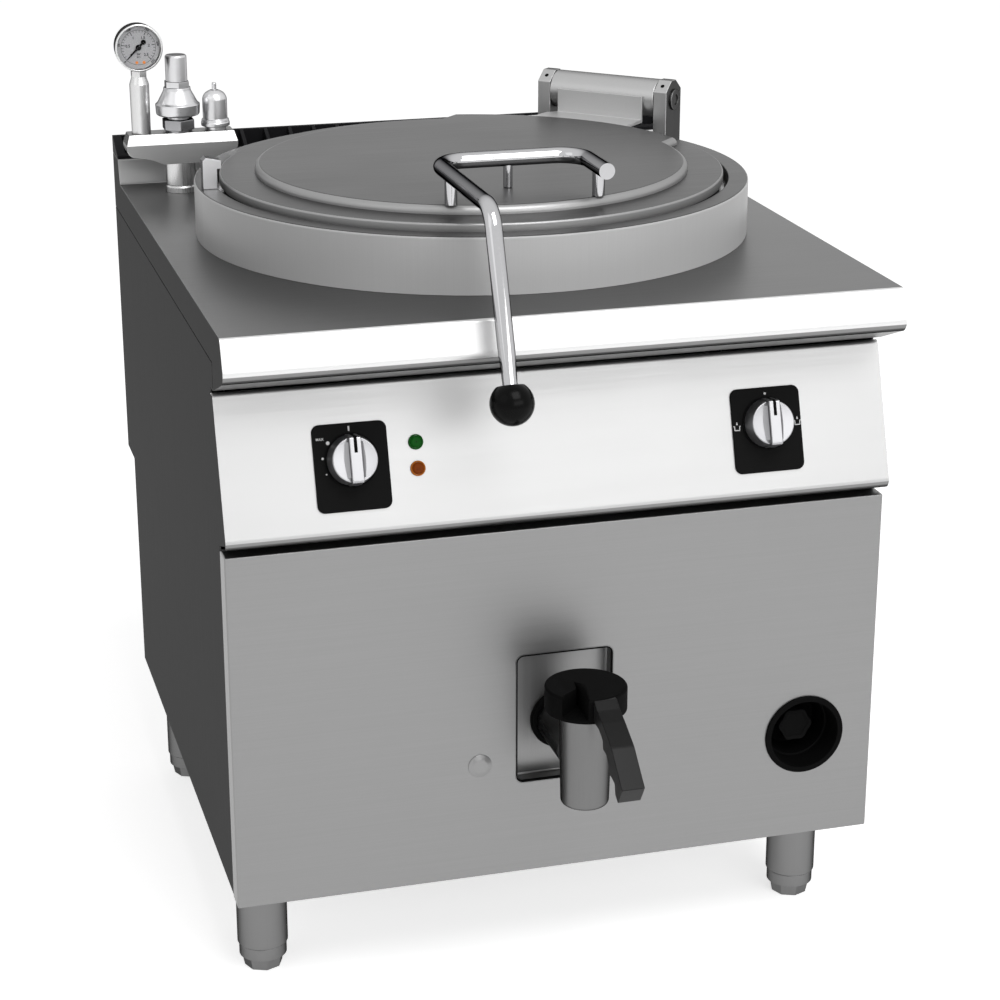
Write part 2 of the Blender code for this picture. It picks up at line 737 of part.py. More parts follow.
def make_vessel(pan):
    inner, floor_top = VESSEL_RADIUS, VESSEL_FLOOR
    outer, under = inner + TOP_SHEET, VESSEL_FLOOR - TOP_SHEET
    chain = [(0, floor_top), (inner, floor_top), (inner, RIM_TOP), (RIM_RADIUS, RIM_TOP),
             (RIM_RADIUS, RIM_TOP - TOP_SHEET), (outer, RIM_TOP - TOP_SHEET), (outer, under), (0, under)]
    radii = [0, VESSEL_CORNER, 0, 0, 0, 0, VESSEL_CORNER + TOP_SHEET, 0]
    vessel = turned('vessel', fillet(chain, radii, 3, closed=False), VESSEL_STEPS, pan, 'bright steel')
    cut(vessel, add('vessel_outlet', cylinder('vessel_outlet', OUTLET_RADIUS - OUTLET_WALL, under - OVERRUN,
                                              floor_top + OVERRUN, SMALL_STEPS), pan, location=(DRAIN_X, OUTLET_Y - PAN_Y, 0)))


def make_jacket(pan):
    outer, wall = JACKET_RADIUS, TOP_SHEET
    closing = VESSEL_RADIUS + TOP_SHEET + GAP
    chain = [(0, JACKET_BOTTOM + wall), (outer - wall, JACKET_BOTTOM + wall), (outer - wall, JACKET_TOP - wall),
             (closing, JACKET_TOP - wall), (closing, JACKET_TOP), (outer, JACKET_TOP), (outer, JACKET_BOTTOM),
             (0, JACKET_BOTTOM)]
    radii = [0, JACKET_CORNER, 0, 0, 0, 0, JACKET_CORNER + wall, 0]
    jacket = turned('jacket', fillet(chain, radii, 3, closed=False), VESSEL_STEPS, pan, 'dark steel')
    low, high = JACKET_BOTTOM - OVERRUN, JACKET_BOTTOM + wall + OVERRUN
    cut(jacket, add('jacket_outlet', cylinder('jacket_outlet', clear_bore(OUTLET_RADIUS, WIDE_STEPS), low, high, WIDE_STEPS), pan,
                    location=(DRAIN_X, OUTLET_Y - PAN_Y, 0)))
    cut(jacket, add('heater_hole', cylinder('heater_hole', HEATER_HOLE, low, high), pan,
                    location=(0, HEATER_OFFSET, 0)))


def make_heating_elements(pan):
    top = JACKET_BOTTOM - GAP
    flange = add('heating_elements', cylinder('heating_elements', HEATER_FLANGE, top - HEATER_FLANGE_THICK, top),
                 pan, 'dark steel', (0, HEATER_OFFSET, 0))
    root = top - HEATER_FLANGE_THICK / 2
    lift = JACKET_BOTTOM + HEATER_LIFT
    for i in range(HEATER_COUNT):
        turn = pi / 2 + 2 * pi * i / HEATER_COUNT
        # across the loop, then along it, then up
        route = [(HEATER_HALF, HEATER_START, root), (HEATER_HALF, HEATER_START, lift),
                 (HEATER_HALF, HEATER_REACH, lift), (-HEATER_HALF, HEATER_REACH, lift),
                 (-HEATER_HALF, HEATER_START, lift), (-HEATER_HALF, HEATER_START, root)]
        path = fillet(route, HEATER_HALF * 0.9, 2, closed=False)
        name = 'heater_rod_' + str(i)
        rod = add(name, wire_data(name, path, HEATER_ROD, 1), pan,
                  location=(0, HEATER_OFFSET, 0), rotation=(0, 0, turn - pi / 2))
        join(flange, meshed(rod))


def crown_outline(inset):
    # The crown's circle with the pad towards the hinge, in hinge directions.
    crown, pad, half = CROWN_RADIUS - inset, PAD_RADIUS - inset, PAD_HALF - inset
    from_crown = acos(half / crown)
    from_pad = acos(half / pad)
    steps = ROUND_STEPS
    pad_steps = ceil(steps * (pi - 2 * from_pad) / (2 * pi))
    rest_steps = ceil(steps * (pi + 2 * from_crown) / (2 * pi))
    return arc(pad, from_pad, pi - from_pad, pad_steps) + arc(crown, pi - from_crown, 2 * pi + from_crown, rest_steps)


def make_lid(lid, lid_across):
    sheet = LID_SHEET
    edge = LID_FLANGE_TOP - LID_EDGE
    under = LID_FLANGE_TOP - sheet
    shell = add('lid_shell', cylinder('lid_shell', LID_RADIUS, edge, LID_FLANGE_TOP, ROUND_STEPS), lid_across, 'satin steel')
    soften(shell, LID_SHEET)
    crown = prism('lid_crown', crown_outline(0), 'Z', under - CROWN_ROUND, LID_TOP)
    crown = add('lid_crown', crown, lid_across)
    soften(crown, CROWN_ROUND, 2)
    hollow = cylinder('lid_hollow', LID_RADIUS - sheet, edge - OVERRUN, under, ROUND_STEPS)
    crown_hollow = prism('crown_hollow', crown_outline(sheet), 'Z', under - OVERRUN, LID_TOP - sheet)
    join(shell, crown)
    cut(shell, add('lid_hollow', hollow, lid_across))
    cut(shell, add('crown_hollow', crown_hollow, lid_across))

    rim = LID_RADIUS - sheet - GAP
    flat, slope = LINER_FLAT, LINER_FLAT + LINER_SLOPE
    low = LINER_EDGE_TOP
    liner = [(0, LINER_TOP), (flat, LINER_TOP), (slope, low), (rim, low), (rim, low - LINER_SHEET),
             (slope, low - LINER_SHEET), (flat, LINER_TOP - LINER_SHEET), (0, LINER_TOP - LINER_SHEET)]
    turned('lid_liner', liner, ROUND_STEPS, lid_across, 'bright steel')

    half = GASKET_WIDTH / 2
    top, base = low - LINER_SHEET - GAP, RIM_TOP + GAP
    seal = [(GASKET_RADIUS + half, top), (GASKET_RADIUS + half, base), (GASKET_RADIUS - half, base),
            (GASKET_RADIUS - half, top)]
    turned('lid_gasket', seal, ROUND_STEPS, lid_across, 'seal rubber', ring=True)


def make_arm(lid_across):
    low = LID_FLANGE_TOP + GAP
    face = HINGE_REACH - TUBE_RADIUS - GAP       # rear face of the upright plate
    front = face - ARM_PLATE
    pad = PAD_RADIUS + GAP
    length = face - sqrt(pad ** 2 - ARM_HALF ** 2)
    flare = [(-ARM_HALF - wide, face - share * length) for wide, share in zip(FLARE_WIDTHS, FLARE_SHARES)]
    wide = ARM_HALF + FLARE_WIDTHS[-1]
    outline = [(ARM_HALF, face), (-ARM_HALF, face)] + flare
    outline += arc(pad, acos(-wide / pad), acos(ARM_HALF / pad), ARM_STEPS)
    arm = add('lid_arm', prism('lid_arm', outline, 'Z', low, low + ARM_FOOT_THICK), lid_across, 'satin steel')
    join(arm, add('arm_plate', box('arm_plate', (-ARM_HALF, front, low), (ARM_HALF, face, ARM_TOP)), lid_across))


def make_hinge(across, hinge):
    half = TUBE_HALF
    bore = SHAFT_RADIUS + GAP
    wall = TUBE_RADIUS - TUBE_WALL
    tube = [(TUBE_RADIUS, half), (TUBE_RADIUS, -half), (bore, -half), (bore, TUBE_END - half), (wall, TUBE_END - half),
            (wall, half - TUBE_END), (bore, half - TUBE_END), (bore, half)]
    along = (0, pi / 2, 0)
    turned('hinge_tube', tube, WIDE_STEPS, hinge, 'satin steel', rotation=along, ring=True)

    outer = half + GAP + BRACKET_THICK
    head = outer + GAP
    tip = head + HEAD_THICK
    shaft = [(0, tip - HEAD_RECESS), (HEAD_SOCKET, tip - HEAD_RECESS), (HEAD_SOCKET, tip), (HEAD_RADIUS, tip),
             (HEAD_RADIUS, head), (SHAFT_RADIUS, head), (SHAFT_RADIUS, -head), (HEAD_RADIUS, -head),
             (HEAD_RADIUS, -tip), (HEAD_SOCKET, -tip), (HEAD_SOCKET, HEAD_RECESS - tip), (0, HEAD_RECESS - tip)]
    at_axis = (0, HINGE_REACH, HINGE_HEIGHT)
    turned('hinge_shaft', shaft, SMALL_STEPS, across, 'dark steel', at_axis, along)

    front, rear, top = BRACKET_FRONT, BRACKET_FRONT + BRACKET_DEPTH, BRACKET_TOP
    run, drop = BRACKET_CHAMFER_RUN, BRACKET_CHAMFER_DROP
    base = TOP_HEIGHT + GAP
    outline = [(front, base), (rear, base), (rear, top - drop), (rear - run, top), (front + run, top), (front, top - drop)]
    lean = Vector((0, 0, 1)).rotation_difference(Vector((0, -drop, run))).to_euler()
    shaft_bore = add('shaft_bore', cylinder('shaft_bore', bore, -tip, tip), across, location=at_axis, rotation=along)
    for name, low in (('left', -outer), ('right', half + GAP)):
        plate = prism('hinge_bracket_' + name, outline, 'X', low, low + BRACKET_THICK)
        bracket = soften(add('hinge_bracket_' + name, plate, across, 'satin steel'), BRACKET_EDGE)
        cut(bracket, shaft_bore)
        hole = cylinder('grub_hole_' + name, GRUB_RADIUS, -GRUB_DEPTH, OVERRUN, PIN_STEPS // 2)
        place = (low + BRACKET_THICK / 2, front + run / 2, top - drop / 2)
        cut(bracket, add('grub_hole_' + name, hole, across, location=place, rotation=lean))

    reach = half - TUBE_END - GAP - SPRING_WIRE
    count = SPRING_TURNS * SPRING_POINTS
    coil = []
    for i in range(count + 1):
        turn = 2 * pi * i / SPRING_POINTS
        coil.append((reach * (2 * i / count - 1), SPRING_COIL * cos(turn), SPRING_COIL * sin(turn)))
    add('hinge_spring', wire_data('hinge_spring', coil, SPRING_WIRE, 1), across, 'spring steel', at_axis)


def make_handle(lid):
    # Heights and places along Y are the cabinet's; the lid frame starts at the pan's centre.
    left, right = HANDLE_X - HANDLE_HALF, HANDLE_X + HANDLE_HALF
    height = HANDLE_HEIGHT
    fall = Vector((0, -sin(HANDLE_DROP_ANGLE), -cos(HANDLE_DROP_ANGLE)))
    corner = Vector((left, HANDLE_CORNER - PAN_Y, height))
    ball = corner + fall * HANDLE_DROP
    seat = ball + fall * (BALL_BORE - BALL_FLAT - GAP)
    taper = seat - fall * HANDLE_TAPER
    route = [(right, HANDLE_FREE_END - PAN_Y, height), (right, HANDLE_REAR - PAN_Y, height),
             (left, HANDLE_REAR - PAN_Y, height), corner, taper, seat]
    path = fillet(route, [0, HANDLE_BEND, HANDLE_BEND, HANDLE_BEND, 0, 0], 4, closed=False)
    radii = [1] * (len(path) - 1) + [HANDLE_TIP_RADIUS / HANDLE_RADIUS]
    handle = meshed(add('lid_handle', wire_data('lid_handle', path, HANDLE_RADIUS, 3, radii), lid, 'polished steel'))
    posts = (('left', left, POST_Y, POST_RADIUS), ('middle', HANDLE_X, HANDLE_REAR, POST_MIDDLE_RADIUS),
             ('right', right, POST_Y, POST_RADIUS))
    for name, x, y, radius in posts:
        post = cylinder('handle_post_' + name, radius, LID_TOP + GAP, height, PIN_STEPS)
        join(handle, add('handle_post_' + name, post, lid, location=(x, y - PAN_Y, 0)))

    bore = HANDLE_TIP_RADIUS + (HANDLE_RADIUS - HANDLE_TIP_RADIUS) * BALL_BORE / HANDLE_TAPER + GAP
    rim = sqrt(BALL_RADIUS ** 2 - BALL_FLAT ** 2)
    start = pi / 2 - Vector((rim, BALL_FLAT)).angle(Vector((0, 1)))
    sphere = arc(BALL_RADIUS, start, -pi / 2, 7)
    sphere[-1] = Vector((0, -BALL_RADIUS))
    profile = [(0, BALL_FLAT - BALL_BORE), (bore, BALL_FLAT - BALL_BORE), (bore, BALL_FLAT)] + sphere
    turned('handle_knob', profile, SMALL_STEPS, lid, 'black plastic', ball, (-HANDLE_DROP_ANGLE, 0, 0))


def make_spout(cabinet):
    low = COLLAR_TOP + GAP
    outline = [(SPOUT_OUTER, low), (SPOUT_INNER, low), (SPOUT_INNER, SPOUT_NOSE_LOW), (SPOUT_NOSE, SPOUT_NOSE_LOW),
               (SPOUT_NOSE, SPOUT_NOSE_TOP), (SPOUT_OUTER + SPOUT_SLOPE, SPOUT_TOP), (SPOUT_OUTER, SPOUT_TOP - SPOUT_SLOPE)]
    half = SPOUT_DEPTH / 2
    spout = add('water_spout', prism('water_spout', outline, 'Y', PAN_Y - half, PAN_Y + half), cabinet, 'satin steel')
    middle, wall = (SPOUT_OUTER + SPOUT_INNER) / 2, SPOUT_WALL
    wide = half - wall
    bore = cylinder('spout_bore', SPOUT_BORE, low - OVERRUN, SPOUT_NOSE_LOW + 2 * wall, PIN_STEPS)
    channel = box('spout_channel', (middle, PAN_Y - wide, SPOUT_NOSE_LOW + wall),
                  (SPOUT_NOSE - wall, PAN_Y + wide, SPOUT_NOSE_TOP - 2 * wall))
    mouth = box('spout_mouth', (SPOUT_INNER + GAP, PAN_Y - wide, SPOUT_NOSE_LOW - OVERRUN),
                (SPOUT_NOSE - wall, PAN_Y + wide, SPOUT_NOSE_LOW + 2 * wall))
    cut(spout, add('spout_bore', bore, cabinet, location=(middle, PAN_Y, 0)))
    cut(spout, add('spout_channel', channel, cabinet))
    cut(spout, add('spout_mouth', mouth, cabinet))


def make_safety_group(cabinet):
    middle = (BLOCK_LEFT + BLOCK_RIGHT) / 2
    reach = (BLOCK_RIGHT - BLOCK_LEFT) / 2 - BLOCK_KEEL
    half_hull = [(BLOCK_KEEL + share * reach, BLOCK_LOW + rise * BLOCK_LIFT)
                 for share, rise in zip(BLOCK_CURVE_SHARES, BLOCK_RISE_SHARES)]
    shoulder = BLOCK_TOP - BLOCK_SHOULDER
    hull = [(middle - x, z) for x, z in reversed(half_hull)] + [(middle + x, z) for x, z in half_hull]
    outline = hull + [(BLOCK_RIGHT, shoulder), (BLOCK_LEFT, shoulder)]
    deep = BLOCK_HALF_DEPTH
    shape = prism_shape(outline, 'Y', GROUP_Y - deep, GROUP_Y + deep)
    shape.normal_update()
    lid_face = [face for face in shape.faces if abs(face.calc_center_median().z - shoulder) < GAP]
    grown = bmesh.ops.extrude_face_region(shape, geom=lid_face)
    raised = [item for item in grown['geom'] if isinstance(item, bmesh.types.BMVert)]
    bmesh.ops.delete(shape, geom=[face for face in lid_face if face.is_valid], context='FACES_ONLY')
    bmesh.ops.translate(shape, vec=(0, 0, BLOCK_SHOULDER), verts=raised)
    for vert in raised:
        vert.co.x += BLOCK_TAPER if vert.co.x < middle else -BLOCK_TAPER
        vert.co.y += BLOCK_TAPER if vert.co.y < GROUP_Y else -BLOCK_TAPER
    bmesh.ops.recalc_face_normals(shape, faces=shape.faces)
    manifold = add('manifold', to_mesh('manifold', shape), cabinet, 'satin steel')

    low, high = TOP_HEIGHT + GAP, BLOCK_LOW + BLOCK_LIFT
    bore = COLUMN_RADIUS - COLUMN_WALL
    foot = low + COLUMN_FOOT_HEIGHT
    column = [(0, high), (COLUMN_RADIUS, high), (COLUMN_RADIUS, foot), (COLUMN_FOOT, foot), (COLUMN_FOOT, low),
              (bore, low), (bore, BLOCK_LOW), (0, BLOCK_LOW)]
    join(manifold, turned('steam_column', column, SMALL_STEPS, cabinet, location=(COLUMN_X, GROUP_Y, 0)))


def make_gauge(cabinet, gauge):
    base = BLOCK_TOP + GAP
    nut = NUT_TOP - NUT_HEIGHT
    stem = [(0, nut + NUT_HEIGHT / 2), (STEM_NECK, nut + NUT_HEIGHT / 2), (STEM_NECK, nut),
            (STEM_SHOULDER, nut - STEM_SHOULDER_DROP), (STEM_FOOT, base), (0, base)]
    column = turned('gauge_column', stem, SMALL_STEPS, cabinet, 'satin steel', (GAUGE_X, GROUP_Y, 0))
    join(column, add('gauge_nut', cylinder('gauge_nut', NUT_RADIUS, nut, NUT_TOP, 6), cabinet,
                     location=(GAUGE_X, GROUP_Y, 0)))

    # Heights here run forwards from the case's front face, so they are negative inside.
    outer, inner = GAUGE_RADIUS, GAUGE_RADIUS - GAUGE_RIM
    hole = NEEDLE_PIN + GAP
    back = -GAUGE_POCKET
    pin_end = back - GAUGE_POCKET / 2
    case = [(0, pin_end), (hole, pin_end), (hole, back), (inner, back), (inner, 0), (outer, 0), (outer, -GAUGE_DEPTH),
            (0, -GAUGE_DEPTH)]
    radii = [0, 0, 0, 0, 0, GAUGE_RIM / 2, GAUGE_ROUND, 0]
    turned('gauge_case', fillet(case, radii, 2, closed=False), WIDE_STEPS, gauge, 'bright steel')
    dial_back = back + GAP
    dial_face = dial_back + DIAL_THICK
    dial = [(inner - GAP, dial_face), (inner - GAP, dial_back), (hole, dial_back), (hole, dial_face)]
    turned('gauge_dial', dial, WIDE_STEPS, gauge, 'white dial', ring=True)
    lens = [(0, -LENS_INSET), (inner - GAP, -LENS_INSET), (inner - GAP, -LENS_INSET - LENS_THICK), (0, -LENS_INSET - LENS_THICK)]
    turned('gauge_lens', lens, WIDE_STEPS, gauge, 'clear lens')

    low = dial_face + NEEDLE_THICK
    high = low + NEEDLE_THICK
    hub = [(0, high + NEEDLE_THICK), (NEEDLE_HUB, high + NEEDLE_THICK), (NEEDLE_HUB, low), (NEEDLE_PIN, low),
           (NEEDLE_PIN, pin_end + GAP), (0, pin_end + GAP)]
    needle = turned('gauge_needle', hub, PIN_STEPS, gauge, 'black plastic', rotation=(0, 0, NEEDLE_ANGLE))
    pointer = [(-NEEDLE_HALF * 1.6, -NEEDLE_TAIL), (NEEDLE_HALF * 1.6, -NEEDLE_TAIL), (NEEDLE_HALF, 0),
               (NEEDLE_HALF / 4, NEEDLE_LENGTH), (-NEEDLE_HALF / 4, NEEDLE_LENGTH), (-NEEDLE_HALF, 0)]
    join(needle, add('needle_pointer', prism('needle_pointer', pointer, 'Z', low, high), gauge,
                     rotation=(0, 0, NEEDLE_ANGLE)))


def make_safety_valves(cabinet, valve_top, breaker_top):
    place = (VALVE_X, GROUP_Y, 0)
    base = BLOCK_TOP + GAP
    pin_top = VALVE_HEX_TOP + VALVE_PIN_HEIGHT
    body = [(0, pin_top), (VALVE_PIN, pin_top), (VALVE_PIN, VALVE_HEX_TOP - OVERRUN), (VALVE_CONE * 0.8, VALVE_HEX_TOP - OVERRUN),
            (VALVE_CONE * 0.8, VALVE_CONE_TOP), (VALVE_CONE, VALVE_CONE_TOP), (VALVE_BAND, VALVE_BAND_TOP),
            (VALVE_BAND, VALVE_BAND_LOW), (VALVE_NECK, VALVE_BAND_LOW), (VALVE_NECK, base), (0, base)]
    radii = [0] * 6 + [VALVE_ROUND / 2, VALVE_ROUND] + [0] * 3
    valve = turned('safety_valve_body', fillet(body, radii, 2, closed=False), SMALL_STEPS, cabinet, 'cast steel', place)
    join(valve, add('valve_nut', cylinder('valve_nut', VALVE_NUT_RADIUS, base, VALVE_NUT_TOP, 6), cabinet, location=place))
    join(valve, add('valve_hex', cylinder('valve_hex', VALVE_HEX_RADIUS, VALVE_CONE_TOP - GAP, VALVE_HEX_TOP, 6),
                    cabinet, location=place))
    # The cap's own heights start at the hexagon under it.
    bore = VALVE_PIN + GAP
    tall = VALVE_CAP_TOP - VALVE_HEX_TOP
    cap = [(0, tall), (VALVE_CAP_RADIUS, tall), (VALVE_CAP_RADIUS, GAP), (bore, GAP), (bore, VALVE_PIN_HEIGHT + GAP),
           (0, VALVE_PIN_HEIGHT + GAP)]
    turned('safety_valve_cap', fillet(cap, [0, VALVE_ROUND, 0, 0, 0, 0], 2, closed=False), SMALL_STEPS, valve_top, 'cast steel')

    place = (BREAKER_X, GROUP_Y, 0)
    bore = BREAKER_PIN + GAP
    seat = BREAKER_TOP - BREAKER_BORE_DEPTH
    neck = base + BREAKER_FOOT_HEIGHT
    dome = BREAKER_TOP - BREAKER_SIDE_TOP
    rise = [(BREAKER_RADIUS * cos(turn), BREAKER_SIDE_TOP + dome * sin(turn)) for turn in (radians(68), radians(45), radians(22), 0)]
    profile = [(0, seat), (bore, seat), (bore, BREAKER_TOP)] + rise + [
        (BREAKER_RADIUS, BREAKER_COLLAR_TOP), (BREAKER_COLLAR, BREAKER_COLLAR_TOP), (BREAKER_COLLAR, neck),
        (BREAKER_FOOT, neck), (BREAKER_FOOT, base), (0, base)]
    turned('vacuum_breaker_body', profile, SMALL_STEPS, cabinet, 'cast steel', place)
    tall = BREAKER_PIN_TOP - seat
    pin = [(0, tall), (BREAKER_PIN, tall), (BREAKER_PIN, GAP), (0, GAP)]
    turned('vacuum_breaker_pin', fillet(pin, [0, BREAKER_PIN / 2, 0, 0], 1, closed=False), PIN_STEPS, breaker_top, 'cast steel')


def make_side_panels(cabinet):
    # The front edge follows the folded control panel, a clearance inside its sheet.
    inset = SHEET + GAP
    bend = PANEL_RADIUS + GAP
    foot = PANEL_FOOT + inset * (PANEL_IN + PANEL_UP)
    head = PANEL_TOP + inset * (PANEL_IN - PANEL_UP)
    under_top = PANEL_TOP + PANEL_IN * (PANEL_TOP_RETURN + SHEET) - PANEL_UP * inset
    drop = (BODY_FRONT - foot.x) / PANEL_IN.x
    over_return = foot + PANEL_IN * drop
    shelf = PANEL_TOP.y + 2 * inset
    top = SKIRT_HEIGHT - GAP
    outline = [(BODY_FRONT, BODY_BOTTOM), over_return, foot + PANEL_IN * bend, foot + PANEL_UP * bend,
               head - PANEL_UP * bend, head + PANEL_IN * bend, under_top, (under_top.x, shelf),
               (NOSE_END.x + GAP, shelf), (NOSE_END.x + GAP, top), (REAR, top),
               (REAR, STEP_HEIGHT), (REAR_LOW, STEP_HEIGHT), (REAR_LOW, BODY_BOTTOM)]
    for name, low in (('side_panel_left', -HALF_WIDTH), ('side_panel_right', HALF_WIDTH - SHEET)):
        add(name, prism(name, outline, 'X', low, low + SHEET), cabinet, 'dark steel')


def make_back_panel(cabinet):
    half = HALF_WIDTH - SHEET - GAP
    top = SKIRT_HEIGHT - GAP
    profile = [(REAR_LOW, BODY_BOTTOM), (REAR_LOW, STEP_HEIGHT), (REAR, STEP_HEIGHT), (REAR, top)]
    back = solidify(add('back_panel', strip('back_panel', profile, half, (0, 1, 0)), cabinet, 'dark steel'), SHEET)
    turn = (pi / 2, 0, 0)
    for name, x in (('gland_hole', GLAND_X), ('water_hole', WATER_X)):
        cut(back, add(name, cylinder(name, GLAND_SHANK + GAP, -SHEET - OVERRUN, SHEET + OVERRUN, PIN_STEPS), cabinet,
                      location=(x, REAR_LOW, INLET_HEIGHT), rotation=turn))
    # Bored through, with a locknut inside the panel.
    inside = -SHEET - GAP
    barrel = GLAND_RADIUS * GLAND_BARREL_SHARE
    outline = [(barrel, GAP + GLAND_LENGTH), (barrel, GAP + GLAND_NUT), (GLAND_RADIUS, GAP + GLAND_NUT),
               (GLAND_RADIUS, GAP), (GLAND_SHANK, GAP), (GLAND_SHANK, inside), (GLAND_RADIUS, inside),
               (GLAND_RADIUS, inside - GLAND_NUT), (GLAND_BORE, inside - GLAND_NUT), (GLAND_BORE, GAP + GLAND_LENGTH)]
    for name, x, look in (('cable_gland', GLAND_X, 'black plastic'), ('water_inlet', WATER_X, 'brass')):
        turned(name, outline, PIN_STEPS, cabinet, look, (x, REAR_LOW, INLET_HEIGHT), (-pi / 2, 0, 0), ring=True)


def make_base(cabinet):
    half = HALF_WIDTH - SHEET - GAP
    front, rear = BODY_FRONT, REAR_LOW - SHEET - GAP
    shape = box_shape((-half, front, BODY_BOTTOM), (half, rear, BODY_BOTTOM + TRAY_RIM))
    top = BODY_BOTTOM + TRAY_RIM
    data = open_shell('base_frame', shape, lambda middle: abs(middle.z - top) < GAP)
    frame = solidify(add('base_frame', data, cabinet, 'dark steel'), TOP_SHEET)
    # The legs are tubes welded under it, each with a threaded bush for its foot.
    top, bottom = BODY_BOTTOM + TOP_SHEET / 2, LEG_BOTTOM
    outer, wall = LEG_RADIUS, LEG_RADIUS - LEG_WALL
    bore, bush = FOOT_STEM + GAP, bottom + LEG_BUSH
    tube = [(0, top), (outer, top), (outer, bottom), (bore, bottom), (bore, bush), (wall, bush),
            (wall, BODY_BOTTOM - LEG_WALL), (0, BODY_BOTTOM - LEG_WALL)]
    for name, (x, y) in LEG_PLACES.items():
        join(frame, turned(name.replace('foot', 'leg'), tube, SMALL_STEPS, cabinet, location=(x, y, 0)))


def make_feet(feet):
    top = LEG_BOTTOM - GAP
    outline = [(0, FOOT_STEM_TOP), (FOOT_STEM, FOOT_STEM_TOP), (FOOT_STEM, top), (FOOT_COLLAR, top),
               (FOOT_COLLAR, FOOT_SOLE_HEIGHT), (0, FOOT_SOLE_HEIGHT)]
    outline = fillet(outline, [0, 0, 0, FOOT_ROUND, 0, 0], 1, closed=False)
    for name, frame in feet.items():
        foot = turned(name, outline, SMALL_STEPS, frame, 'satin steel')
        sole = cylinder(name + '_sole', FOOT_SOLE, 0, FOOT_SOLE_HEIGHT + GAP, 8, FOOT_SOLE_TOP)
        join(foot, add(name + '_sole', sole, frame))


LEG_PLACES = {'foot_front_left': (-LEG_X, LEG_FRONT), 'foot_front_right': (LEG_X, LEG_FRONT),
              'foot_rear_left': (-LEG_X, LEG_REAR), 'foot_rear_right': (LEG_X, LEG_REAR)}


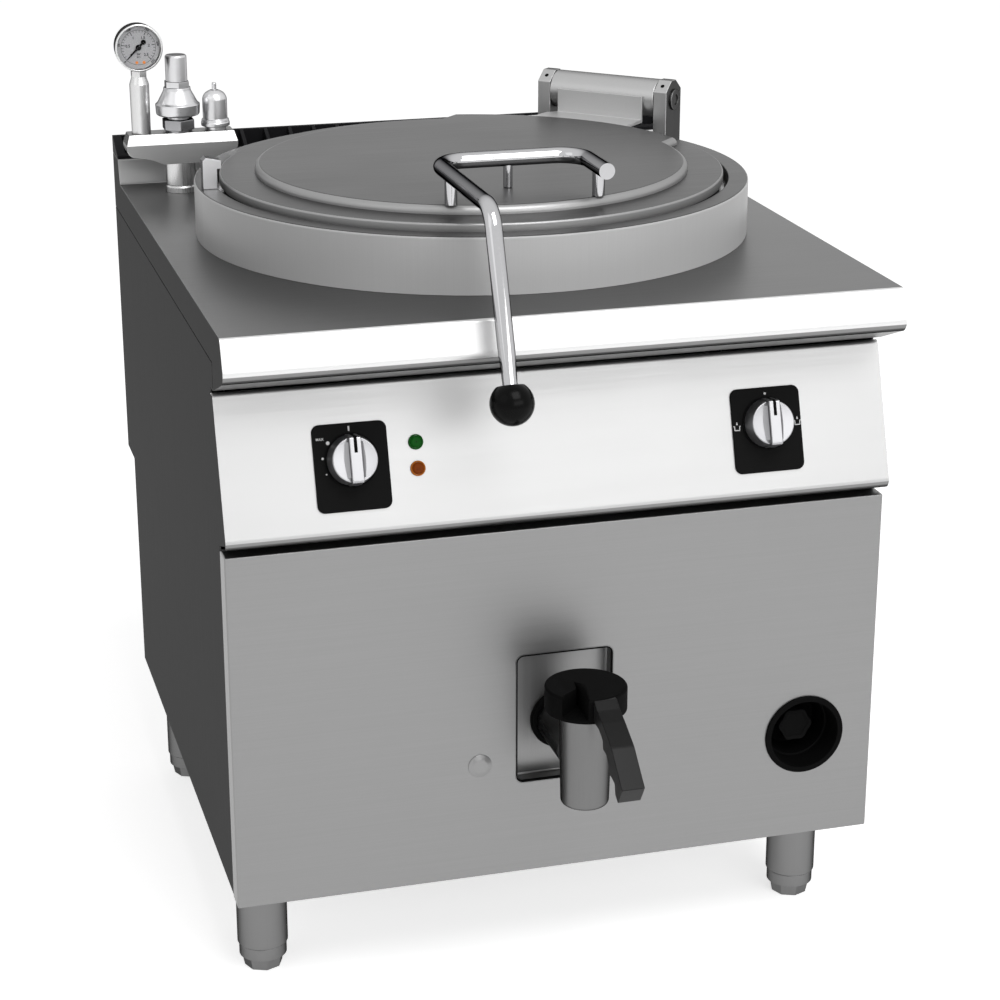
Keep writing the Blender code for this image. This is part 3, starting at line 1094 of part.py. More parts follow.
def make_control_panel(cabinet, slope, power, water):
    profile = [PANEL_TOP + PANEL_IN * PANEL_TOP_RETURN, PANEL_TOP, PANEL_FOOT, PANEL_FOOT + PANEL_IN * PANEL_LOW_RETURN]
    path = fillet(profile, [0, PANEL_RADIUS, PANEL_RADIUS, 0], 3, closed=False)
    data = strip('control_panel', path, HALF_WIDTH, (0, -PANEL_UP.y, PANEL_UP.x))
    panel = solidify(add('control_panel', data, cabinet, 'bright steel'), SHEET)
    holes = [(CONTROL_X * side, KNOB_RISE, KNOB_SPINDLE + GAP) for side in (-1, 1)]
    holes += [(PILOT_X, rise, PILOT_SHANK + GAP) for rise in (PILOT_GREEN_RISE, PILOT_ORANGE_RISE)]
    drills = []
    for x, rise, radius in holes:
        drill = cylinder_shape(radius, -SHEET - OVERRUN, OVERRUN)
        bmesh.ops.translate(drill, vec=(x, rise, 0), verts=drill.verts)
        drills.append(drill)
    cut(panel, add('panel_holes', merged('panel_holes', drills), slope))

    # On the slope, X runs right, Y up the panel and Z out of it.
    half, tall = BEZEL_WIDTH / 2, BEZEL_HEIGHT / 2
    corners = [(-half, BEZEL_RISE - tall), (half, BEZEL_RISE - tall), (half, BEZEL_RISE + tall), (-half, BEZEL_RISE + tall)]
    outline = fillet(corners, BEZEL_RADIUS, 3)
    for name, x in (('bezel_left', -CONTROL_X), ('bezel_right', CONTROL_X)):
        bezel = add(name, prism(name, outline, 'Z', GAP, BEZEL_THICK), slope, 'black plastic', (x, 0, 0))
        dish = cylinder(name + '_dish', KNOB_BASE + BEZEL_MARGIN, BEZEL_THICK - BEZEL_DISH, BEZEL_THICK + OVERRUN, WIDE_STEPS)
        bore = cylinder(name + '_bore', KNOB_SPINDLE + GAP, -OVERRUN, BEZEL_THICK)
        cut(bezel, add(name + '_dish', dish, slope, location=(x, KNOB_RISE, 0)))
        cut(bezel, add(name + '_bore', bore, slope, location=(x, KNOB_RISE, 0)))

    for name, frame in (('power_knob', power), ('water_knob', water)):
        low = BEZEL_THICK - BEZEL_DISH + KNOB_SHADOW
        body = [(0, KNOB_FACE), (KNOB_FACE_RADIUS, KNOB_FACE), (KNOB_BASE, low), (KNOB_SPINDLE, low),
                (KNOB_SPINDLE, -KNOB_SPINDLE_DEPTH), (0, -KNOB_SPINDLE_DEPTH)]
        knob = turned(name, fillet(body, [0, KNOB_ROUND, 0, 0, 0, 0], 1, closed=False), WIDE_STEPS, frame, 'silver plastic')
        end, top = KNOB_FACE_RADIUS, KNOB_GRIP
        step = KNOB_GRIP_SLOPE
        side_view = [(-end, KNOB_FACE - step), (end, KNOB_FACE - step), (end - step, top), (step - end, top)]
        grip = prism(name + '_grip', side_view, 'X', -KNOB_GRIP_HALF, KNOB_GRIP_HALF)
        join(knob, soften(add(name + '_grip', grip, frame), KNOB_ROUND / 2))
        groove = box(name + '_groove', (-KNOB_GROOVE, 0, top - KNOB_GROOVE_DEPTH), (KNOB_GROOVE, end + OVERRUN, top + OVERRUN))
        cut(knob, add(name + '_groove', groove, frame))

    for name, rise, look in (('pilot_light_green', PILOT_GREEN_RISE, 'green lens'), ('pilot_light_orange', PILOT_ORANGE_RISE, 'orange lens')):
        lamp = [(0, PILOT_RIM + PILOT_DOME), (PILOT_RADIUS / 2, PILOT_RIM + PILOT_DOME * 0.8), (PILOT_RADIUS, PILOT_RIM), (PILOT_RADIUS, GAP),
                (PILOT_SHANK, GAP), (PILOT_SHANK, -PILOT_SHANK_DEPTH), (0, -PILOT_SHANK_DEPTH)]
        turned(name, lamp, SMALL_STEPS, slope, look, (PILOT_X, rise, 0))

    back = -SHEET - GAP
    half = REGULATOR_SIDE / 2
    bore_depth = KNOB_SPINDLE_DEPTH + GAP
    block = box('power_regulator', (-half, -half, back - REGULATOR_DEPTH), (half, half, back))
    regulator = add('power_regulator', block, slope, 'black plastic', (-CONTROL_X, KNOB_RISE, 0))
    cut(regulator, add('regulator_bore', cylinder('regulator_bore', KNOB_SPINDLE + GAP, -bore_depth, OVERRUN), slope,
                       location=(-CONTROL_X, KNOB_RISE, 0)))
    bore = KNOB_SPINDLE + GAP
    body = [(0, -bore_depth), (bore, -bore_depth), (bore, back), (WATER_BODY_RADIUS, back),
            (WATER_BODY_RADIUS, back - WATER_BODY_DEPTH), (0, back - WATER_BODY_DEPTH)]
    valve = turned('water_valve', body, SMALL_STEPS, slope, 'brass', (CONTROL_X, KNOB_RISE, 0))
    port = cylinder('water_port', WATER_PORT_RADIUS, 0, WATER_PORT_LENGTH)
    join(valve, add('water_port', port, slope, location=(CONTROL_X, KNOB_RISE, back - WATER_BODY_DEPTH * 0.6),
                    rotation=(pi / 2, 0, 0)))


def make_front_panel(cabinet, front):
    rear = BODY_FRONT - GAP
    shape = box_shape((-HALF_WIDTH, FRONT_Y, FRONT_BOTTOM), (HALF_WIDTH, rear, FRONT_TOP))
    data = open_shell('front_panel', shape, lambda middle: abs(middle.y - rear) < GAP)
    panel = add('front_panel', data, cabinet, 'satin steel')
    soften(panel, RETURN_RADIUS, 2)
    solidify(panel, SHEET)

    # On the front, X runs right, Y up and Z out of the panel.
    half = RECESS_WIDTH / 2
    low, high = RECESS_BOTTOM, RECESS_BOTTOM + RECESS_HEIGHT
    corners = [(DRAIN_X - half, low), (DRAIN_X + half, low), (DRAIN_X + half, high), (DRAIN_X - half, high)]
    window = prism('recess_window', fillet(corners, RECESS_RADIUS, 3), 'Z', -SHEET - OVERRUN, OVERRUN)
    cut(panel, add('recess_window', window, front))
    cup_hole = (CUP_RADIUS + CUP_MOUTH) / 2
    cut(panel, add('cup_hole', cylinder('cup_hole', cup_hole, -SHEET - OVERRUN, OVERRUN, WIDE_STEPS), front, location=(CUP_X, CUP_HEIGHT, 0)))
    cut(panel, add('plug_hole', cylinder('plug_hole', PLUG_SHANK + GAP, -SHEET - OVERRUN, OVERRUN), front,
                   location=(PLUG_X, PLUG_HEIGHT, 0)))

    inner = [(DRAIN_X + (x - DRAIN_X) * (half - GAP) / half, y + (GAP if y == low else -GAP)) for x, y in corners]
    pan_shape = prism_shape(fillet(inner, RECESS_RADIUS - GAP, 3), 'Z', -RECESS_DEPTH - SHEET, 0)
    pan_data = open_shell('drain_recess', pan_shape, lambda middle: abs(middle.z) < GAP)
    recess = solidify(add('drain_recess', pan_data, front, 'satin steel'), SHEET)
    cut(recess, add('recess_bore', cylinder('recess_bore', SPIGOT_RADIUS + GAP, -RECESS_DEPTH - SHEET - OVERRUN, OVERRUN - RECESS_DEPTH, WIDE_STEPS),
                    front, location=(DRAIN_X, SPIGOT_HEIGHT, 0)))

    dome = [(0, PLUG_DOME + GAP), (PLUG_RADIUS * 0.55, PLUG_DOME * 0.75 + GAP), (PLUG_RADIUS * 0.88, PLUG_DOME * 0.35 + GAP), (PLUG_RADIUS, GAP),
            (PLUG_SHANK, GAP), (PLUG_SHANK, -PLUG_SHANK_DEPTH), (0, -PLUG_SHANK_DEPTH)]
    turned('panel_plug', dome, SMALL_STEPS, front, 'satin steel', (PLUG_X, PLUG_HEIGHT, 0))


def make_cup(front, wheel):
    place = (CUP_X, CUP_HEIGHT, 0)
    mouth, wall = CUP_MOUTH, CUP_WALL
    body = mouth + wall
    base, tip = CUP_FLOOR, CUP_FLOOR + wall
    bore = CUP_STEM + GAP
    cup = [(CUP_RADIUS, CUP_LIP), (CUP_RADIUS, GAP), (body, GAP), (tip, -CUP_DEPTH), (bore, -CUP_DEPTH),
           (bore, wall - CUP_DEPTH), (base, wall - CUP_DEPTH), (mouth, 0), (mouth, CUP_LIP)]
    turned('jacket_cup', fillet(cup, [CUP_LIP / 2] + [0] * 8, 2), WIDE_STEPS, front, 'black plastic', place, ring=True)

    floor_face = wall - CUP_DEPTH
    seat = floor_face + GAP
    shoulder = seat + WHEEL_STANDOFF
    pin_top = shoulder + WHEEL_THICK - CUP_LIP
    valve = [(0, pin_top), (WHEEL_BORE, pin_top), (WHEEL_BORE, shoulder), (CUP_STEM * 1.5, shoulder), (CUP_STEM * 1.5, seat), (CUP_STEM, seat),
             (CUP_STEM, -CUP_DEPTH - JACKET_VALVE_LENGTH), (0, -CUP_DEPTH - JACKET_VALVE_LENGTH)]
    turned('jacket_valve_body', valve, SMALL_STEPS, front, 'brass', place)

    # A lobed hand wheel; its own heights start at the valve's shoulder.
    sides = WHEEL_LOBES * 4
    rim = []
    for i in range(sides):
        turn = 2 * pi * i / sides
        radius = WHEEL_RADIUS * (1 - 0.06 * (1 - cos(WHEEL_LOBES * turn)))
        rim.append((radius * cos(turn), radius * sin(turn)))
    hand = add('jacket_valve_knob', prism('jacket_valve_knob', rim, 'Z', GAP, WHEEL_THICK), wheel, 'black plastic')
    cut(hand, add('wheel_bore', cylinder('wheel_bore', WHEEL_BORE + GAP, -OVERRUN, WHEEL_THICK - CUP_LIP + GAP), wheel))


def make_drain(cabinet, front, drain):
    rear = -RECESS_DEPTH
    ring = [(FLANGE_RADIUS, rear + FLANGE_THICK), (FLANGE_RADIUS, rear + GAP), (SPIGOT_RADIUS + GAP, rear + GAP),
            (SPIGOT_RADIUS + GAP, rear + FLANGE_THICK)]
    turned('drain_flange', fillet(ring, [CAP_ROUND / 2, 0, 0, 0], 1), WIDE_STEPS, front, 'black plastic', (DRAIN_X, SPIGOT_HEIGHT, 0), ring=True)

    place = (DRAIN_X, VALVE_Y, 0)
    stem = PLUG_STEM + GAP
    crown = BARREL_TOP - BARREL_CROWN
    barrel = [(0, BARREL_TOP), (BARREL_RADIUS, BARREL_TOP), (BARREL_FOOT, BARREL_BOTTOM), (0, BARREL_BOTTOM)]
    barrel = fillet(barrel, [0, 0, BARREL_ROUND, 0], 2, closed=False)
    body = turned('drain_body', barrel, WIDE_STEPS, cabinet, 'satin steel', place)
    lying = (pi / 2, 0, 0)
    axis = (DRAIN_X, VALVE_Y, SPIGOT_HEIGHT)
    reach = SPIGOT_REAR - VALVE_Y
    join(body, add('spigot', cylinder('spigot', SPIGOT_RADIUS, -reach, -BARREL_BORE / 2, WIDE_STEPS), cabinet, location=axis, rotation=lying))
    over, under = BARREL_TOP + OVERRUN, BARREL_BOTTOM - OVERRUN
    bore = [(0, over), (stem, over), (stem, crown), (BARREL_BORE, crown), (BARREL_BORE, under), (0, under)]
    cut(body, turned('barrel_bore', bore, WIDE_STEPS, cabinet, location=place))
    cut(body, add('spigot_bore', cylinder('spigot_bore', SPIGOT_BORE, -reach - OVERRUN, 0), cabinet, location=axis, rotation=lying))

    high = crown - PLUG_TOP_CLEAR
    stem_top = BARREL_TOP
    plug_radius = BARREL_BORE * cos(pi / WIDE_STEPS) - GAP
    profile = [(0, stem_top), (PLUG_STEM, stem_top), (PLUG_STEM, high), (plug_radius, high), (plug_radius, PLUG_LOW), (0, PLUG_LOW)]
    plug = turned('drain_plug', profile, WIDE_STEPS, drain, 'bright steel')
    cut(plug, add('plug_down', cylinder('plug_down', PLUG_PORT, PLUG_LOW - OVERRUN, SPIGOT_HEIGHT), drain))
    cut(plug, add('plug_side', cylinder('plug_side', PLUG_PORT, 0, BARREL_RADIUS), drain,
                  location=(0, 0, SPIGOT_HEIGHT), rotation=(0, pi / 2, 0)))

    base = BARREL_TOP + GAP
    disc = [(0, CAP_TOP), (CAP_RADIUS, CAP_TOP), (CAP_RADIUS, base), (0, base)]
    cap = turned('drain_cap', fillet(disc, [0, CAP_ROUND, 0, 0], 1, closed=False), ROUND_STEPS, drain, 'black plastic')
    notch = [(x * CAP_RADIUS, y * CAP_RADIUS) for x, y in NOTCH_SHARES]
    cut(cap, add('cap_notch', prism('cap_notch', notch, 'Z', CAP_TOP - CAP_NOTCH_DEPTH, CAP_TOP + OVERRUN), drain))

    span = LEVER_REACH - LEVER_ROOT
    side_view = [(-LEVER_ROOT - share * span, CAP_TOP - drop * LEVER_DROP)
                 for share, drop in LEVER_TOP_SHARES + LEVER_LOW_SHARES]
    half = LEVER_WIDTH / 2
    lever = add('drain_lever', prism('drain_lever', side_view, 'X', LEVER_X - half, LEVER_X + half), drain, 'black plastic')
    soften(lever, LEVER_EDGE)
    clear = cylinder('lever_root', CAP_RADIUS + GAP, base - LEVER_DROP, CAP_TOP + OVERRUN, ROUND_STEPS)
    cut(lever, add('lever_root', clear, drain))

    top = VESSEL_FLOOR - TOP_SHEET - GAP
    elbow = fillet([(DRAIN_X, OUTLET_Y, top), (DRAIN_X, OUTLET_Y, SPIGOT_HEIGHT), (DRAIN_X, SPIGOT_REAR + GAP, SPIGOT_HEIGHT)],
                   OUTLET_BEND, 4, closed=False)
    pipe = meshed(add('drain_pipe', wire_data('drain_pipe', elbow, OUTLET_RADIUS, 6, caps=False), cabinet, 'satin steel'))
    solidify(pipe, OUTLET_WALL)

    neck = (OUTLET_RADIUS - OUTLET_WALL) * cos(pi / SMALL_STEPS) - GAP
    seat = VESSEL_FLOOR + GAP
    sheet = STRAINER_SHEET
    rise = STRAINER_RISE
    sieve = [(0, seat + rise), (STRAINER_NECK, seat + rise), (STRAINER_RADIUS, seat + sheet), (STRAINER_RADIUS, seat), (neck, seat),
             (neck, seat - rise), (neck - sheet, seat - rise), (neck - sheet, seat), (STRAINER_NECK - sheet, seat + rise - sheet), (0, seat + rise - sheet)]
    strainer = turned('drain_strainer', sieve, SMALL_STEPS, cabinet, 'bright steel', (DRAIN_X, OUTLET_Y, 0))
    drills = []
    for i in range(STRAINER_HOLES):
        turn = 2 * pi * i / STRAINER_HOLES
        drill = cylinder_shape(STRAINER_HOLE, seat - rise, seat + 2 * rise, PIN_STEPS // 2)
        bmesh.ops.translate(drill, vec=(STRAINER_RING * cos(turn), STRAINER_RING * sin(turn), 0), verts=drill.verts)
        drills.append(drill)
    cut(strainer, add('strainer_holes', merged('strainer_holes', drills), cabinet, location=(DRAIN_X, OUTLET_Y, 0)))


def main():
    clear_scene()
    cabinet = empty('cabinet', location=(0, CABINET_Y, 0))
    pan = empty('pan', cabinet, (0, PAN_Y, 0))
    across = empty('across', pan, rotation=(0, 0, -pi / 4))      # Y points at the rear right corner
    hinge = empty('lid_hinge', across, (0, HINGE_REACH, HINGE_HEIGHT))
    lid_across = empty('lid_across', hinge, (0, -HINGE_REACH, -HINGE_HEIGHT))
    lid = empty('lid', lid_across, rotation=(0, 0, pi / 4))
    slope = empty('slope', cabinet, (0, *PANEL_FOOT), (pi / 2 - PANEL_RAKE, 0, 0))
    power = empty('power_axis', slope, (-CONTROL_X, KNOB_RISE, 0))
    water = empty('water_axis', slope, (CONTROL_X, KNOB_RISE, 0))
    front = empty('front', cabinet, (0, FRONT_Y, 0), (pi / 2, 0, 0))
    shoulder = CUP_WALL - CUP_DEPTH + GAP + WHEEL_STANDOFF
    wheel = empty('wheel_axis', front, (CUP_X, CUP_HEIGHT, shoulder))
    drain = empty('drain_axis', cabinet, (DRAIN_X, VALVE_Y, 0))
    gauge = empty('gauge_axis', cabinet, (GAUGE_X, GAUGE_FRONT, GAUGE_HEIGHT), (pi / 2, 0, 0))
    valve_top = empty('valve_axis', cabinet, (VALVE_X, GROUP_Y, VALVE_HEX_TOP))
    breaker_top = empty('breaker_axis', cabinet, (BREAKER_X, GROUP_Y, BREAKER_TOP - BREAKER_BORE_DEPTH))
    feet = {name: empty(name + '_axis', cabinet, (*place, 0)) for name, place in LEG_PLACES.items()}

    make_worktop(cabinet)
    make_grille(cabinet)
    make_collar(pan)
    make_vessel(pan)
    make_jacket(pan)
    make_heating_elements(pan)
    make_lid(lid, lid_across)
    make_arm(lid_across)
    make_hinge(across, hinge)
    make_handle(lid)
    make_spout(cabinet)
    make_safety_group(cabinet)
    make_gauge(cabinet, gauge)
    make_safety_valves(cabinet, valve_top, breaker_top)
    make_side_panels(cabinet)
    make_back_panel(cabinet)
    make_base(cabinet)
    make_feet(feet)
    make_control_panel(cabinet, slope, power, water)
    make_front_panel(cabinet, front)
    make_cup(front, wheel)
    make_drain(cabinet, front, drain)
    bpy.context.view_layer.update()


main()
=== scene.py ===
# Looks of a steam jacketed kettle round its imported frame, in metres, +Z up, front towards -Y.
import json
import math

import bmesh
import bpy
from mathutils import Matrix, Vector

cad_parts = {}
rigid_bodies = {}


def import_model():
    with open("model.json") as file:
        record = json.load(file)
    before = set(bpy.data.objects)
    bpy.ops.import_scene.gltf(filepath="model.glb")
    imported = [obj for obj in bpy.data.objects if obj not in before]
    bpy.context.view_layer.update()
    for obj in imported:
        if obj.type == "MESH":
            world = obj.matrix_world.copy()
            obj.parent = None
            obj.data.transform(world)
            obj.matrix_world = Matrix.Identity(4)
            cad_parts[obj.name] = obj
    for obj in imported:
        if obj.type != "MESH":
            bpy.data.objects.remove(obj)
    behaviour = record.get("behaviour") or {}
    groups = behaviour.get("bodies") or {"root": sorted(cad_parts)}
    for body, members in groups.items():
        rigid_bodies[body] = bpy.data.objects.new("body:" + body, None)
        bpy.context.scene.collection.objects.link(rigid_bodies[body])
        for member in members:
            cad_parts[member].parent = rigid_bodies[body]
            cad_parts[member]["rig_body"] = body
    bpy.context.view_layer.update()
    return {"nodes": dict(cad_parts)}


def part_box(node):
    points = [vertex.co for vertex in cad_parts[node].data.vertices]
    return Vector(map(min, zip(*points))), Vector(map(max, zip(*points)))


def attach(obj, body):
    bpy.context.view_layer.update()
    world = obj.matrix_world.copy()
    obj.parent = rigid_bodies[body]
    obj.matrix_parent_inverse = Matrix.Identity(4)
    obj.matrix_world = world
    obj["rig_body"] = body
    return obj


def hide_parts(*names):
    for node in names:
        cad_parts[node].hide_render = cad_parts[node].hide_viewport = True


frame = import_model()
print("frame:", len(frame["nodes"]), "nodes")

pi = math.pi
cabinet = {
    "halfWidth": 0.400,
    "halfDepth": 0.435,
    "topHeight": 0.850,
    "panY": 0.0154,  # centre of everything round
}
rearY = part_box("worktop")[1].y
cabinetPlace = Matrix.Translation((0, rearY - cabinet["halfDepth"], 0))
panPlace = cabinetPlace @ Matrix.Translation((0, cabinet["panY"], 0))
acrossPlace = panPlace @ Matrix.Rotation(-pi / 4, 4, "Z")  # Y points at the hinge corner
sideways = Matrix(((0, 0, 1, 0), (1, 0, 0, 0), (0, 1, 0, 0), (0, 0, 0, 1)))  # an XY outline drawn in YZ
frontwards = Matrix.Rotation(pi / 2, 4, "X")  # an XY outline facing the front
clear = 0.0003  # gap between pieces that touch


# Finishes
def newFinish(name, slot):
    finish = bpy.data.materials.new(name)
    finish.use_nodes = True
    finish["slot"] = slot  # the record's slot that it belongs to
    return finish, finish.node_tree.nodes, finish.node_tree.links


def noiseOf(nodes, links, stretch, scale, detail):
    coords = nodes.new("ShaderNodeTexCoord")
    mapping = nodes.new("ShaderNodeMapping")
    mapping.inputs["Scale"].default_value = stretch
    noise = nodes.new("ShaderNodeTexNoise")
    noise.inputs["Scale"].default_value = scale
    noise.inputs["Detail"].default_value = detail
    links.new(coords.outputs["Object"], mapping.inputs["Vector"])
    links.new(mapping.outputs["Vector"], noise.inputs["Vector"])
    return noise.outputs["Fac"]


def ranged(nodes, links, value, low, high):
    spread = nodes.new("ShaderNodeMapRange")
    spread.inputs["From Min"].default_value = 0.25
    spread.inputs["From Max"].default_value = 0.75
    spread.inputs["To Min"].default_value = low
    spread.inputs["To Max"].default_value = high
    links.new(value, spread.inputs["Value"])
    return spread.outputs["Result"]


def shaded(nodes, links, value, dark, light):
    ramp = nodes.new("ShaderNodeValToRGB")
    ramp.color_ramp.elements[0].position = 0.25
    ramp.color_ramp.elements[1].position = 0.75
    ramp.color_ramp.elements[0].color = (*dark, 1)
    ramp.color_ramp.elements[1].color = (*light, 1)
    links.new(value, ramp.inputs["Fac"])
    return ramp.outputs["Color"]


def blended(nodes, links, first, second, share):
    mix = nodes.new("ShaderNodeMix")
    mix.inputs["Factor"].default_value = share
    links.new(first, mix.inputs["A"])
    links.new(second, mix.inputs["B"])
    return mix.outputs["Result"]


def steel(name, slot, tone, roughness=0.34, along="X", streak=0.07, dent=0.12, metallic=1.0, edge=1.0):
    # Brushed sheet: fine grain along one axis over broad, faint clouds.
    finish, nodes, links = newFinish(name, slot)
    shader = nodes["Principled BSDF"]
    stretch = [1.0 if axis == along else 140.0 for axis in "XYZ"]
    grain = noiseOf(nodes, links, stretch, 6.0, 3.0)
    cloud = noiseOf(nodes, links, (1, 1, 1), 5.0, 2.0)
    mixed = blended(nodes, links, grain, cloud, 0.35)
    dark = [tone * (1 - streak)] * 3
    light = [tone * (1 + streak)] * 3
    links.new(shaded(nodes, links, mixed, dark, light), shader.inputs["Base Color"])
    links.new(ranged(nodes, links, mixed, roughness - 0.05, roughness + 0.05), shader.inputs["Roughness"])
    shader.inputs["Metallic"].default_value = metallic
    shader.inputs["Specular Tint"].default_value = (edge, edge, edge, 1)
    bump = nodes.new("ShaderNodeBump")
    bump.inputs["Strength"].default_value = dent
    bump.inputs["Distance"].default_value = 0.0002
    links.new(grain, bump.inputs["Height"])
    links.new(bump.outputs["Normal"], shader.inputs["Normal"])
    return finish


def moulded(name, slot, colour, roughness, speckle=0.15, size=900.0, dent=0.10, metallic=0.0, gloss=0.5,
            edge=1.0):
    # Plastic, rubber or enamel with a fine moulded skin.
    finish, nodes, links = newFinish(name, slot)
    shader = nodes["Principled BSDF"]
    skin = noiseOf(nodes, links, (1, 1, 1), size, 2.0)
    cloud = noiseOf(nodes, links, (1, 1, 1), 18.0, 2.0)
    mixed = blended(nodes, links, skin, cloud, 0.5)
    dark = [channel * (1 - speckle) for channel in colour]
    light = [channel * (1 + speckle) for channel in colour]
    links.new(shaded(nodes, links, mixed, dark, light), shader.inputs["Base Color"])
    links.new(ranged(nodes, links, mixed, roughness - 0.04, roughness + 0.04), shader.inputs["Roughness"])
    shader.inputs["Metallic"].default_value = metallic
    shader.inputs["Specular IOR Level"].default_value = gloss
    shader.inputs["Specular Tint"].default_value = (edge, edge, edge, 1)
    bump = nodes.new("ShaderNodeBump")
    bump.inputs["Strength"].default_value = dent
    bump.inputs["Distance"].default_value = 0.0001
    links.new(skin, bump.inputs["Height"])
    links.new(bump.outputs["Normal"], shader.inputs["Normal"])
    return finish


def clearGlass(name, slot):
    finish, nodes, links = newFinish(name, slot)
    shader = nodes["Principled BSDF"]
    shader.inputs["Base Color"].default_value = (1, 1, 1, 1)
    shader.inputs["Transmission Weight"].default_value = 1.0
    shader.inputs["IOR"].default_value = 1.1
    smear = noiseOf(nodes, links, (1, 1, 1), 60.0, 2.0)
    links.new(ranged(nodes, links, smear, 0.0, 0.03), shader.inputs["Roughness"])
    return finish


topSteel = steel("topSteel", "satin_steel", 0.125, 0.36)
# Lighter copy of the worktop's satin steel for the front nose: painted highlight.
noseLitSteel = steel("noseLitSteel", "satin_steel", 0.66, 0.36, streak=0.015, dent=0.04, metallic=0.7)
lidSteel = steel("lidSteel", "satin_steel", 0.043, 0.36)
# Lighter copy of the satin steel for upright and rounded faces of the lid, worktop and manifold: painted
# light.
uprightLitSteel = steel("uprightLitSteel", "satin_steel", 0.36, 0.36, streak=0.03, metallic=0.6, edge=0.3)
collarSteel = steel("collarSteel", "satin_steel", 0.48, 0.40, along="Z", streak=0.03, metallic=0.05, edge=0.0)
frontSteel = steel("frontSteel", "satin_steel", 0.238, 0.40, streak=0.05)
panelSteel = steel("panelSteel", "bright_steel", 0.44, 0.46, streak=0.015, dent=0.05)
# Darker copy of the satin steel for the cabinet's sides, back and worktop ends: painted shade.
sideSteel = steel("sideSteel", "dark_steel", 0.088, 0.50, along="Z", streak=0.03, dent=0.05, edge=0.3)
hingeSteel = steel("hingeSteel", "satin_steel", 0.48, 0.36, streak=0.04, metallic=0.85, edge=0.0)
armSteel = steel("armSteel", "satin_steel", 0.55, 0.42, streak=0.04, metallic=0.6)
# Darker copies of the satin steel for bends and undersides that turn downwards: painted shade.
foldShadeSteel = steel("foldShadeSteel", "satin_steel", 0.23, 0.40, streak=0.015, dent=0.04, metallic=0.7, edge=0.3)
underShadeSteel = steel("underShadeSteel", "satin_steel", 0.12, 0.40, streak=0.015, dent=0.04, edge=0.0)
recessSteel = steel("recessSteel", "satin_steel", 0.22, 0.36, along="Z", streak=0.04)
legSteel = steel("legSteel", "satin_steel", 0.185, 0.40, along="Z", streak=0.04, edge=0.0)
fittingSteel = steel("fittingSteel", "satin_steel", 0.68, 0.28, along="Z", streak=0.03, metallic=0.95,
                     edge=0.0)
barrelSteel = steel("barrelSteel", "satin_steel", 0.15, 0.34, along="Z", streak=0.04, edge=0.0)
castSteel = moulded("castSteel", "cast_steel", (0.68, 0.68, 0.69), 0.30, 0.03, 500.0, 0.10, 0.97, edge=0.0)
nutSteel = moulded("nutSteel", "cast_steel", (0.34, 0.34, 0.35), 0.26, 0.05, 500.0, 0.10, 1.0, edge=0.0)
chrome = moulded("chrome", "polished_steel", (0.53, 0.53, 0.54), 0.07, 0.02, 300.0, 0.01, 1.0, edge=0.0)
innerSteel = steel("innerSteel", "bright_steel", 0.42, 0.25, streak=0.05)
darkSteel = steel("darkSteel", "dark_steel", 0.16, 0.42, edge=0.0)
springSteel = steel("springSteel", "spring_steel", 0.18, 0.35)
blackEnamel = moulded("blackEnamel", "black_enamel", (0.008, 0.008, 0.009), 0.60, 0.2, gloss=0.08)
blackPlastic = moulded("blackPlastic", "black_plastic", (0.010, 0.010, 0.010), 0.38, 0.2, gloss=0.14)
bezelPlastic = moulded("bezelPlastic", "black_plastic", (0.006, 0.006, 0.006), 0.50, 0.2, gloss=0.03)
ballPlastic = moulded("ballPlastic", "black_plastic", (0.002, 0.002, 0.002), 0.22, 0.2, 300.0, 0.04,
                      gloss=0.07)
softBlack = moulded("softBlack", "black_plastic", (0.003, 0.003, 0.003), 0.60, 0.2, gloss=0.03)
silverPlastic = moulded("silverPlastic", "silver_plastic", (0.36, 0.36, 0.37), 0.34, 0.03, 700.0, 0.05, 0.95,
                        edge=0.2)
sealRubber = moulded("sealRubber", "seal_rubber", (0.020, 0.020, 0.020), 0.65, 0.2)
greenLens = moulded("greenLens", "green_lens", (0.006, 0.078, 0.008), 0.30, 0.15, 400.0, 0.05, gloss=0.04)
orangeLens = moulded("orangeLens", "orange_lens", (0.165, 0.034, 0.004), 0.30, 0.15, 400.0, 0.05, gloss=0.04)
# Brighter orange for the orange pilot's rim ring: painted glint.
orangeGlintRim = moulded("orangeGlintRim", "orange_lens", (0.34, 0.10, 0.01), 0.35, 0.20, 400.0, 0.05, gloss=0.06)
dialWhite = moulded("dialWhite", "white_dial", (0.36, 0.36, 0.37), 0.50, 0.03, gloss=0.1)
dialBlack = moulded("dialBlack", "black_plastic", (0.006, 0.006, 0.006), 0.50, 0.1, gloss=0.1)
dialOrange = moulded("dialOrange", "orange_lens", (0.75, 0.22, 0.02), 0.50, 0.05)
markWhite = moulded("markWhite", "white_dial", (0.60, 0.60, 0.60), 0.50, 0.03, gloss=0.1)
brass = moulded("brass", "brass", (0.60, 0.42, 0.16), 0.32, 0.08, 300.0, 0.08, 1.0)
clearLens = clearGlass("clearLens", "clear_lens")
print("finishes")


# Modelling helpers
def drawn(shape, points, closed=False, segments=6):
    # A chain of edges through (x, y, z, rounding) points.
    verts = [shape.verts.new(point[:3]) for point in points]
    for pair in zip(verts, verts[1:]):
        shape.edges.new(pair)
    if closed:
        shape.edges.new((verts[-1], verts[0]))
    roundOff(shape, verts, [point[3] for point in points], segments)


def roundOff(shape, verts, radii, segments=6):
    # Rounds corners with a vertex bevel, whose offset runs along the edges.
    for vert, radius in zip(verts, radii):
        if radius:
            first, second = [edge.other_vert(vert).co - vert.co for edge in vert.link_edges]
            reach = radius / math.tan(first.angle(second) / 2)
            bmesh.ops.bevel(shape, geom=[vert], offset=reach, offset_type="OFFSET", segments=segments,
                            profile=0.5, affect="VERTICES", material=-1)


